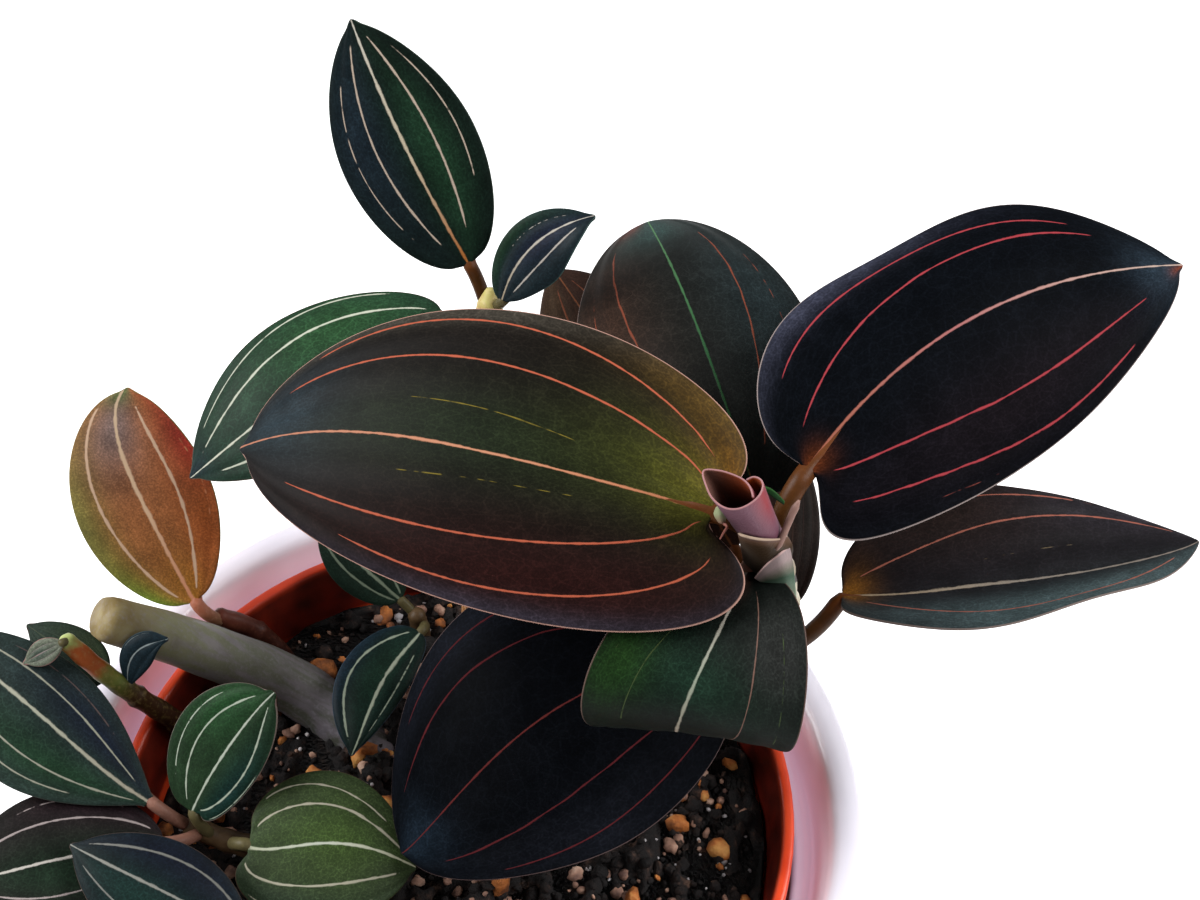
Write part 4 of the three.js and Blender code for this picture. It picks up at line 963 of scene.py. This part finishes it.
def make_stem(node, name, material, rings, swelling=0.08):
    """Replaces a stem node: a fleshy stem swollen at its joints, with a scar at each ring."""
    spec = STEMS[node]
    per_span = 16
    line = catmull_rom(spec["path"], per_span)
    places = np.arange(len(line)) / per_span
    radii = np.interp(places, np.arange(len(spec["radius"])), spec["radius"])
    radii = radii * (1 + swelling * np.cos(2 * np.pi * places) ** 2)
    for ring in rings:
        away = (places - ring) * per_span
        radii = radii * (1 + 0.11 * np.exp(-away ** 2) - 0.05 * np.exp(-(away - 1.6) ** 2))
    ends = (len(line) - 1 - np.arange(len(line)))
    radii = radii * np.sqrt(np.clip((ends + 0.15) / 1.6, 0, 1))
    radii[:2] *= (0.86, 0.97)
    piece = tube(line, radii, sides=24)
    set_along(piece, line)
    slot = "old_stem_skin" if node == "old_stem" else "young_stem_skin"
    finish(piece, name, [material], [node], slot)
    for face in piece.data.polygons:
        face.use_smooth = len(face.vertices) <= 4  # the cut end stays flat


def set_along(piece, line):
    """Stores how far along a line each vertex of a tube lies, from 0 to 1."""
    line = np.array(line) * MM
    along = []
    for vertex in piece.data.vertices:
        nearest = np.argmin(((line - np.array(vertex.co)) ** 2).sum(axis=1))
        along.append(nearest / (len(line) - 1))
    set_attribute(piece, "along", along)


# ---- Leaves ----


def unit(vector):
    return vector / np.linalg.norm(vector, axis=-1, keepdims=True)


def bezier(points, t):
    """Points and directions of a Bezier curve at places t."""
    points = np.array(points, float)
    t = np.asarray(t, float)[:, None]
    if len(points) == 3:
        a, b, c = points
        place = a * (1 - t) ** 2 + 2 * b * t * (1 - t) + c * t ** 2
        slope = 2 * (b - a) * (1 - t) + 2 * (c - b) * t
    else:
        a, b, c, d = points
        place = a * (1 - t) ** 3 + 3 * b * t * (1 - t) ** 2 + 3 * c * t ** 2 * (1 - t) + d * t ** 3
        slope = 3 * (b - a) * (1 - t) ** 2 + 6 * (c - b) * t * (1 - t) + 3 * (d - c) * t ** 2
    return place, unit(slope)


def spine(leaf):
    """The control points of the stalk and the blade, and the way the right-hand side lies."""
    root, base, tip = (np.array(leaf[key], float) for key in ("root", "base", "tip"))
    face = unit(np.array(leaf["face"], float))
    chord = tip - base
    to_right = unit(np.cross(chord, face))
    rise = base + chord / 3 + face * leaf["bow"][0] + to_right * leaf["sway"][0]
    bend = base + chord * 2 / 3 + face * leaf["bow"][1] + to_right * leaf["sway"][1]
    if leaf["rise"]:
        rise, bend = np.array(leaf["rise"], float), np.array(leaf["bend"], float)
    start = unit(rise - base)
    knee = base - start * 0.5 * np.linalg.norm(root - base)
    if leaf["knee"]:
        knee = np.array(leaf["knee"], float)
    return (root, knee, base), (base, rise, bend, tip), unit(np.cross(start, face))


def rib_frame(leaf, t):
    """Places on the midrib, and the ways forward, to the right and up there."""
    _, ribs, first_side = spine(leaf)
    centre, forward = bezier(ribs, t)
    side = unit(first_side - forward * (forward @ first_side)[:, None])
    return centre, forward, side, np.cross(side, forward)


def blade_surface(leaf, stalk_width, s, t):
    """The blade's middle surface at places s across (-1 to 1) and t along (0 to 1)."""
    centre, forward, side, up = rib_frame(leaf, t)
    t = t[:, None]
    s = s[None, :]
    power = np.where(t < leaf["widest"], leaf["round"], leaf["point"])
    spread = np.clip(np.sin(np.pi * t ** (math.log(0.5) / math.log(leaf["widest"]))), 0, 1) ** power
    half = np.hypot(leaf["width"] / 2 * spread, stalk_width / 2 * (1 - t) ** 3)
    half = np.maximum(half, 1e-6)
    pick = lambda pair: np.where(s < 0, pair[0], pair[1])
    turn = np.radians(pick(leaf["cup"])) * spread
    turn = np.where(np.abs(turn) < 1e-6, 1e-6, turn)
    fold = math.radians(leaf["keel"]) * spread
    bent = np.abs(turn * s)
    out = np.sin(bent) / np.abs(turn)
    lift = (1 - np.cos(bent)) / turn
    ripple = s ** 2 * spread * np.sin(2 * np.pi * (leaf["ripples"] * t + leaf["phase"]))
    reach = half * pick(leaf["halves"]) * (1 + pick(leaf["ruffle"]) * ripple)
    outside_stalk = np.maximum(0, np.abs(s) - LOBE_START * stalk_width / half)
    right = reach * (out * np.cos(fold) - lift * np.sin(fold)) * np.sign(s)
    rise = half * (out * np.sin(fold) + lift * np.cos(fold)) + pick(leaf["wave"]) * ripple
    back = pick(leaf["lobe"]) * np.sqrt(spread) * (1 - t) ** pick(leaf["tuck"]) * outside_stalk
    points = (centre[:, None] + side[:, None] * right[..., None] + up[:, None] * rise[..., None]
              - forward[:, None] * back[..., None])
    return points, half * pick(leaf["halves"]), spread


def through(places, t):
    """The quadratic that passes through three places at the base, middle and tip of a blade."""
    base, middle, tip = places
    return base * (1 - t) * (1 - 2 * t) + 4 * middle * t * (1 - t) + tip * t * (2 * t - 1)


def vein_map(look, s, t):
    """For each place: a number that is whole on a vein, how strong and whether a faint one it is."""
    lines = sorted([(*look["centre"], 1, -1, 1.04), *look["veins"]], key=lambda line: line[1])
    middle = [line[:3] for line in lines].index(tuple(look["centre"]))
    across = np.array([through(line[:3], t) for line in lines])
    for k in range(middle + 1, len(lines)):
        across[k] = np.maximum(across[k], across[k - 1] + 0.05)
    for k in range(middle - 1, -1, -1):
        across[k] = np.minimum(across[k], across[k + 1] - 0.05)
    across = np.vstack([np.minimum(across[0] - 0.3, -1.05), across, np.maximum(across[-1] + 0.3, 1.05)])
    shown = [np.zeros_like(t)]
    for *_, strength, start, end in lines:
        fade = np.clip((t - start) / 0.1, 0, 1) * np.clip((end - t) / 0.12, 0, 1)
        shown.append(strength * np.sqrt(fade))
    shown.append(np.zeros_like(t))
    shown[middle + 1] = 0.55 + 0.45 * np.clip((1.04 - t) / 0.3, 0, 1)
    numbers = np.arange(len(across)) - middle - 1
    vein = np.array([np.interp(s, row, numbers) for row in across.T])
    strength = np.array([
        np.interp(np.rint(row), numbers, column) for row, column in zip(vein, np.array(shown).T)])
    weak = np.array([0, *[line[3] < 0.7 for line in lines], 0], float)
    faint = np.array([np.interp(np.rint(row), numbers, weak) for row in vein])
    return vein, strength, faint


def tone_map(look, s, t):
    """The skin's colour at each place: the body colour with its softer patches, some of them painted
    highlights, laid over it.
    """
    colour = np.broadcast_to(np.array(linear(look["body"], SKIN_DEPTH)), (len(t), len(s), 4)).copy()
    for code, across, along, reach_across, reach_along in look["patches"]:
        away = ((s[None, :] - across) / reach_across) ** 2 + ((t[:, None] - along) / reach_along) ** 2
        weight = np.exp(-1.5 * away)[..., None]
        colour = colour * (1 - weight) + np.array(linear(code, SKIN_DEPTH)) * weight
    return colour


def make_leaf(node):
    """Replaces a leaf node: a thin blade shaped over a grid, and the stalk that runs on as its rib."""
    leaf = {**LEAF_DEFAULTS, **LEAVES[node]}
    look = {**LOOK_DEFAULTS, **LOOKS[node]}
    finishes = [leaf_velvet(node + "_velvet", look), leaf_underside(node + "_underside", *look["under"]),
                stem_skin(node + "_stalk", *STALKS[look["stalk"]])]
    stalk_width = STALK_WIDTH[0] + (STALK_WIDTH[1] - STALK_WIDTH[0]) * leaf["width"] / LARGEST_WIDTH
    columns, rows = (44, 72) if leaf["width"] > 31 else (32, 54) if leaf["width"] > 16 else (24, 40)
    even = np.linspace(0, 1, rows + 1)
    t = 0.15 * even + 0.85 * (1 - np.cos(np.pi * even)) / 2
    s = np.sin(np.linspace(-math.pi / 2, math.pi / 2, columns + 1) * 0.8) / math.sin(0.4 * math.pi)
    points, half, spread = blade_surface(leaf, stalk_width, s, t)
    vein, strength, faint = vein_map(look, s, t)

    # A fine point at the tip, and the skin puffed a little between the veins.
    _, forward, _, _ = rib_frame(leaf, t)
    near_tip = np.clip((t - 0.93) / 0.07, 0, 1)[:, None] ** 2
    point = look["apex"] * near_tip * np.exp(-(s[None, :] * half / 0.9) ** 2)
    points = points + forward[:, None] * point[..., None]
    along_row, along_column = np.gradient(points, axis=1), np.gradient(points, axis=0)
    normal = np.cross(along_row, along_column)
    normal /= np.maximum(np.linalg.norm(normal, axis=-1, keepdims=True), 1e-9)
    quilt = 0.16 * np.sin(np.pi * vein) ** 2 * np.minimum(1, spread[:, 0] * 1.5)[:, None]
    points = points + normal * quilt[..., None]

    # How many millimetres one step of the vein numbers takes on the blade.
    ee, ff, gg = ((a * b).sum(axis=-1) for a, b in (
        (along_row, along_row), (along_row, along_column), (along_column, along_column)))
    wu, wv = np.gradient(vein, axis=1), np.gradient(vein, axis=0)
    slope = (gg * wu ** 2 - 2 * ff * wu * wv + ee * wv ** 2) / np.maximum(ee * gg - ff ** 2, 1e-9)
    pitch = 1 / np.sqrt(np.clip(slope, 1e-4, 1e4))

    bpy.ops.mesh.primitive_grid_add(x_subdivisions=columns, y_subdivisions=rows, size=2)
    blade = bpy.context.object
    mesh = blade.data
    across, along = grid_places(mesh, columns, rows)
    mesh.vertices.foreach_set("co", (points[along, across] * MM).ravel())
    for name, field in (("vein", vein), ("pitch", pitch), ("strength", strength), ("faint", faint),
                        ("margin", half * (1 - np.abs(s)))):
        set_attribute(blade, name, field[along, across])
    set_attribute(blade, "along", t[along])
    set_attribute(blade, "tone", tone_map(look, s, t)[along, across], "FLOAT_COLOR")
    thickness = blade.vertex_groups.new(name="thickness")
    shares = 1 - (1 - BLADE_EDGE) * np.abs(s) ** 5
    for j, share in enumerate(shares):
        thickness.add(np.flatnonzero(across == j).tolist(), float(share), "REPLACE")
    cleaned(0.005, outward=False)
    for _ in finishes[:2]:
        mesh.materials.append(None)
    apply_modifier(blade, "SOLIDIFY", thickness=BLADE * MM, offset=0, vertex_group="thickness",
                   material_offset=1, material_offset_rim=0)
    apply_modifier(blade, "SUBSURF", levels=1, render_levels=1)

    line, _ = bezier(spine(leaf)[0], np.linspace(0, 1, 14)[:-1])
    rib_places = np.linspace(0, 0.9, 22)
    rib, _, _, up = rib_frame(leaf, rib_places)
    thick = 0.43 * stalk_width
    rib_radii = thick * (1 - rib_places) ** 1.5 + 0.12
    rib = rib - up * (0.62 * rib_radii + 0.1 * np.minimum(1, rib_places * 8))[:, None]
    radii = [*[thick + 0.12] * len(line), *rib_radii]
    petiole = tube([*line, *rib], radii, sides=12)
    set_along(petiole, [*line, *rib])
    piece = joined([(blade, None), (petiole, 2)], finishes)
    return finish(piece, node + "_blade", finishes, [node], look["slot"])


def grid_places(mesh, columns, rows):
    """The column and row of each vertex of a flat grid of size 2."""
    flat = np.empty(len(mesh.vertices) * 3)
    mesh.vertices.foreach_get("co", flat)
    flat = flat.reshape(-1, 3)
    across = np.rint((flat[:, 0] + 1) / 2 * columns).astype(int)
    return across, np.rint((flat[:, 1] + 1) / 2 * rows).astype(int)


def joined(parts, finishes):
    """Joins pieces into the first one. Each takes one of the finishes, or keeps its own (None)."""
    for piece, index in parts:
        give_materials(piece, finishes, index)
    activate(parts[0][0])
    for piece, _ in parts[1:]:
        piece.select_set(True)
    bpy.ops.object.join()
    return bpy.context.object


def make_sheet(name, rows, thickness, material, per_span=5):
    """A thin sheath or scale: a sheet through rows of listed points, given a thickness."""
    lines = [catmull_rom(row, per_span) for row in rows]
    places = np.array([catmull_rom(column, per_span) for column in zip(*lines)])
    columns, steps = places.shape[0] - 1, places.shape[1] - 1
    bpy.ops.mesh.primitive_grid_add(x_subdivisions=columns, y_subdivisions=steps, size=2)
    piece = bpy.context.object
    across, along = grid_places(piece.data, columns, steps)
    piece.data.vertices.foreach_set("co", (places[across, along] * MM).ravel())
    set_attribute(piece, "along", along / steps)
    from_top = np.linalg.norm(places - places[:, :1], axis=-1)
    set_attribute(piece, "margin", from_top[across, along])
    apply_modifier(piece, "SOLIDIFY", thickness=thickness * MM, offset=0)
    apply_modifier(piece, "SUBSURF", levels=1, render_levels=1)
    cleaned()
    return finish(piece, name, [material], slot="young_stem_skin")


# ---- The rolled new leaf ----

ROLL_FOOT = (50.4, 1.3, 191.5)
ROLL_MOUTH = (44.9, -1.0, 207.6)
# The mouth's outline from the inner margin round the apex to the outer margin, in mm to the
# right of and below the middle of the mouth.
ROLL_SECTION = ((2.5, 1.3), (2.1, -0.3), (1.2, -1.6), (-0.3, -2.5), (-2.0, -3.0), (-4.2, -3.1),
                (-4.0, -0.9), (-3.3, 1.0), (-1.6, 2.5), (0.2, 2.8), (2.0, 2.2), (3.5, 1.0),
                (4.1, -0.7), (3.7, -1.8), (2.6, -2.4), (1.3, -2.0))
ROLL_APEX = 5  # the point of the outline that is the leaf's tip


def make_rolled_leaf():
    """Replaces rolled_leaf: one blade rolled up lengthways, its apex standing out at the mouth."""
    foot, mouth = np.array(ROLL_FOOT), np.array(ROLL_MOUTH)
    axis = unit(mouth - foot)
    length = np.linalg.norm(mouth - foot)
    right = unit(np.array((1.0, 0, 0)) - axis * axis[0])
    down = -unit(np.cross(axis, right))
    section = np.array(catmull_rom([(x, y, 0) for x, y in ROLL_SECTION], 6))[:, :2]
    columns, rows = len(section) - 1, 28
    share = np.linspace(0, 1, len(section))
    apex = ROLL_APEX / (len(ROLL_SECTION) - 1)
    bpy.ops.mesh.primitive_grid_add(x_subdivisions=columns, y_subdivisions=rows, size=2)
    piece = bpy.context.object
    across, row = grid_places(piece.data, columns, rows)
    along = row / rows
    top = 0.95 + 0.1 * np.exp(-((share - apex) / 0.14) ** 2) - 0.1 * np.abs(share - apex)
    height = along * top[across]
    angle = np.unwrap(np.arctan2(section[:, 1], section[:, 0]))[across]
    waist = 2.5 + 0.35 * share[across]
    circle = np.stack([np.cos(angle), np.sin(angle)], axis=1) * waist[:, None]
    open_out = np.clip(height, 0, 1)[:, None] ** 1.3
    flat = circle * (1 - open_out) + section[across] * open_out
    places = foot + axis * (height * length)[:, None] + right * flat[:, :1] + down * flat[:, 1:]
    piece.data.vertices.foreach_set("co", (places * MM).ravel())
    set_attribute(piece, "along", along)
    set_attribute(piece, "across", share[across])
    set_attribute(piece, "margin", length * (1 - along) * top[across])
    for _ in range(2):
        piece.data.materials.append(None)
    apply_modifier(piece, "SOLIDIFY", thickness=0.34 * MM, offset=0, material_offset=1, material_offset_rim=0)
    apply_modifier(piece, "SUBSURF", levels=1, render_levels=1)
    # The glow colours and the lit-across ramps are painted light coming through the far side; the inside's
    # tones darken to painted shade at the foot.
    inside = rolled_skin("roll_inside", ("0c0504", "2a1a14", "503c36"), "9a4414", "8c6058", (
        (0.0, 0.9), (0.14, 1), (0.3, 0.1), (0.6, 0), (0.78, 0.5), (1, 1)))
    outside = rolled_skin("roll_outside", ("5a3844", "60404c", "684854"), "842a28", "90686a", (
        (0.0, 0.5), (0.2, 0), (0.64, 0), (0.75, 0.7), (0.82, 0.3), (1, 0)))
    return finish(piece, "rolled_new_leaf", [outside, inside], ["rolled_leaf"], "rolled_leaf_skin")


# ---- Sheaths and scales at the growing tip ----

SHEATH = (
    ((46.1, -1.3, 197), (46.6, -2.8, 198.4), (48.7, -2.9, 197.7),
     (51.1, -1.9, 196.1), (52.6, -0.5, 194.4), (53.5, 1, 193)),
    ((46.6, -0.2, 193), (47.8, -2.2, 195), (49.9, -2.3, 194.4),
     (52.2, -1.3, 192.6), (53.7, 0, 191), (54.6, 1.6, 189.4)),
    ((47.4, 2, 186), (49, -0.5, 188.7), (50.4, -1.4, 189.3),
     (52.3, -0.7, 188.1), (54, 1.2, 185.6), (55, 3.9, 182.6)),
    ((48.5, 4.4, 176), (50.3, 2.1, 178.6), (51.8, 1.2, 179.4),
     (53.9, 1.9, 178.1), (55.7, 4, 175.4), (56.7, 6.9, 171.9)),
)
SHEATH_FLAP = (
    ((49, -1.6, 185.5), (50.7, -2, 190), (52.4, -1.6, 192), (54, 0.6, 191)),
    ((49.5, -1.7, 185), (51.3, -2.1, 187.5), (53.1, -1.9, 189), (54.6, -0.4, 188.5)),
    ((50.4, -1.5, 184), (52.1, -2, 185), (53.9, -2, 185.5), (55.1, -1.6, 185.5)),
    ((51.7, -1.2, 182.5), (53, -1.9, 181.5), (54.2, -2.6, 181), (55.7, -2.6, 181)),
)
WITHERED_BRACT = (
    ((42.8, 1.0, 200), (43.3, 1.0, 200.5), (44.1, 0.7, 200)),
    ((42.5, 0.5, 199), (43.3, 0.1, 199.8), (44.3, 0.1, 199)),
    ((43.3, -0.4, 198), (43.7, -0.7, 198.2), (44.1, -0.4, 198)),
)
WITHERED_TIP = ((43.8, -0.4, 198.1), (44.4, -1.3, 198.3), (43.9, -2.2, 198.2), (43.3, -3.3, 198))
GREEN_BRACT = (
    ((49.2, 5.0, 200), (50.8, 4.5, 200.1), (52.0, 3.8, 199.5), (53.0, 2.8, 199)),
    ((49.4, 4.7, 199.5), (50.8, 3.7, 199.3), (52.0, 2.8, 199), (52.9, 2.4, 198.6)),
)
STALK_EDGE = ((55.1, 3, 199), (54.1, 1.8, 197), (53, -0.1, 195), (51.9, -2.1, 193.4))


def make_growing_tip():
    """The sheaths that wrap the top of the main shoot, and the scales beside the new leaf."""
    for name, rows, thickness, skin, tones, rim in (
            ("leaf_sheath", SHEATH, 0.5, "sheath_skin",
             ((0, "54403a"), (0.12, "4c3424"), (0.3, "2e1d09"), (1, "1e1406")), "94806f"),
            # The flap's darker olive and green band, at 0.45 to 0.58, is painted shadow below its top margin.
            ("sheath_flap", SHEATH_FLAP, 0.4, "flap_skin",
             ((0, "7f6f6f"), (0.25, "857473"), (0.45, "5c5c50"), (0.58, "395040"), (0.75, "5c7060"),
              (1, "7c8874")), "a08480"),
            ("withered_bract", WITHERED_BRACT, 0.35, "withered_skin",
             ((0, "6f7759"), (0.5, "7c8264"), (1, "6c5244")), "8c8c70"),
            ("green_bract", GREEN_BRACT, 0.35, "green_scale_skin",
             ((0, "0a2c0a"), (0.6, "08240a"), (1, "061a06")), "1c4018")):
        make_sheet(name, rows, thickness, soft_scale(skin, tones, rim))
    steps = range(19)
    for name, path, radii, sides, along, skin in (
            ("withered_tip", WITHERED_TIP, np.linspace(0.28, 0.12, len(steps)), 10, 1,
             ("dry_tip", ((0, "7a4a40"), (1, "6a3c34")), "94685c")),
            ("stalk_edge", STALK_EDGE, np.interp(steps, (0, 3, 16, 18), (0.2, 0.6, 0.5, 0.2)), 12, 0,
             ("stalk_edge_skin", ((0, "7c6058"), (1, "70584c")), "90786c"))):
        strip = tube(catmull_rom(path, 6), radii, sides)
        set_attribute(strip, "along", np.full(len(strip.data.vertices), along))
        finish(strip, name, [stem_skin(*skin)], slot="young_stem_skin")


# ---- Floor, light and camera ----

CAMERA_PLACE = (25.8, -205.2, 484.5)
CAMERA_PITCH = 52.7  # degrees below the horizon
CAMERA_LENS = 72  # on a 36 mm sensor
FLOOR_SIZE = 3.0  # metres


def make_floor():
    """A plain pale table top."""
    bpy.ops.mesh.primitive_plane_add(size=FLOOR_SIZE, location=(0, 0, 0))
    floor = bpy.context.object
    floor.name = "floor"
    material, node, place = new_material("pale_table", Roughness=0.7)
    cloud = node("TexNoise", {"Vector": place, "Scale": 3.0, "Detail": 1.0})
    tone = node("ValToRGB", {"Fac": cloud}, stops=((0.3, "fbfbfb"), (0.7, "ffffff")))
    floor.data.materials.append(surfaced(material, tone))


def make_light(name, place, target, size, power, colour="ffffff"):
    """A soft box that looks from place to target."""
    data = bpy.data.lights.new(name, "AREA")
    data.shape = "SQUARE"
    data.size = size
    data.energy = power
    data.color = linear(colour)[:3]
    light = bpy.data.objects.new(name, data)
    bpy.context.collection.objects.link(light)
    light.location = place
    light.rotation_euler = (Vector(target) - Vector(place)).to_track_quat("-Z", "Y").to_euler()


def make_camera():
    data = bpy.data.cameras.new("camera")
    data.lens = CAMERA_LENS
    data.sensor_width = 36
    data.clip_start = 0.01
    camera = bpy.data.objects.new("camera", data)
    bpy.context.collection.objects.link(camera)
    camera.location = Vector(CAMERA_PLACE) * MM
    camera.rotation_euler = (math.radians(90 - CAMERA_PITCH), 0, 0)
    bpy.context.scene.camera = camera


def make_stage():
    make_floor()
    world = bpy.data.worlds.new("studio")
    bpy.context.scene.world = world
    world.use_nodes = True
    world.node_tree.nodes["Background"].inputs["Color"].default_value = linear("ffffff")
    world.node_tree.nodes["Background"].inputs["Strength"].default_value = 0.4
    plant = (0.0, 0.0, 0.15)
    make_light("key_left", (-0.85, 0.1, 0.85), plant, 0.7, 21)
    make_light("fill_right", (0.85, 0.0, 0.85), plant, 0.7, 17)
    bpy.context.scene.view_settings.view_transform = "Standard"


# ---- The plant ----

make_camera()
make_stage()
make_cover_pot()
make_nursery_pot()
bed = make_mix()
bpy.context.view_layer.update()
scatter("humus_crumbs", bed, damp_humus(), 1300, (0.4, 1.5), 21)
scatter("bark_chips", bed, weathered_chip("pine_bark", "5a3014", "a8622a", "d09a54"), 200, (0.7, 2.7), 31,
        (1.2, 1, 0.7))
scatter("stone_grit", bed, weathered_chip("pumice_grit", "5c423a", "94705e", "c0a08c"), 480, (0.35, 1.5), 41)
scatter("fine_grit", bed, weathered_chip("perlite_grains", "7a7678", "a8a4a6", "dcd8d8"), 260, (0.3, 0.8), 51)

# The old cane darkens towards its far end, partly its own colour and partly painted shade where it runs under
# the leaves; its violet-grey streaks are partly a painted highlight.
make_stem("old_stem", "old_cane", stem_skin("old_stem_skin", (
    (0, "746440"), (0.05, "7a7050"), (0.14, "74745a"), (0.3, "626456"), (0.55, "484a42"), (1, "24221e")),
    "807c84", OLD_STEM_GRAIN, "766e7a"), (), 0.02)
low_skin = stem_skin("low_stem_skin", ((0, "241810"), (0.5, "382a1c"), (1, "443422")), "5a4830")
for node, rings, skin in (
        ("main_stem", (2, 3, 4, 5), stem_skin("main_stem_skin", (
            (0, "4a3828"), (0.4, "6a5a40"), (0.62, "a8a088"), (1, "b8a898")), "d0c4b4")),
        ("tall_stem", (1, 2), stem_skin("tall_stem_skin", (
            (0, "5a4028"), (0.7, "8a5a30"), (0.95, "a08050"), (1, "a8a060")), "c8b090")),
        ("low_stem", (1, 2), low_skin),
        # The rim shoot's near-black foot is partly its own colour and partly painted shade where it runs down
        # inside the pot.
        ("rim_stem", (1, 2, 3), stem_skin("rim_stem_skin", (
            (0, "160a06"), (0.4, "220e08"), (0.62, "34200e"), (0.69, "3a3414"), (0.74, "4e5622"),
            (0.79, "5a5a26"), (0.83, "7c3c16"), (0.93, "8a4218"), (0.97, "7c8448"), (1, "9aa468")),
            "8a7a48")),
        ("small_stem", (1,), low_skin),
        # The back shoot is painted dark reddish brown as shade, to blend with the shadowed inner wall of the
        # pot behind it.
        ("back_stem", (1, 2), stem_skin("back_stem_shaded_skin", (
            (0, "180a06"), (0.5, "2a120c"), (1, "54281c")), "6a4030"))):
    make_stem(node, node.replace("stem", "shoot"), skin, rings)
for node in LEAVES:
    make_leaf(node)
make_rolled_leaf()
make_growing_tip()
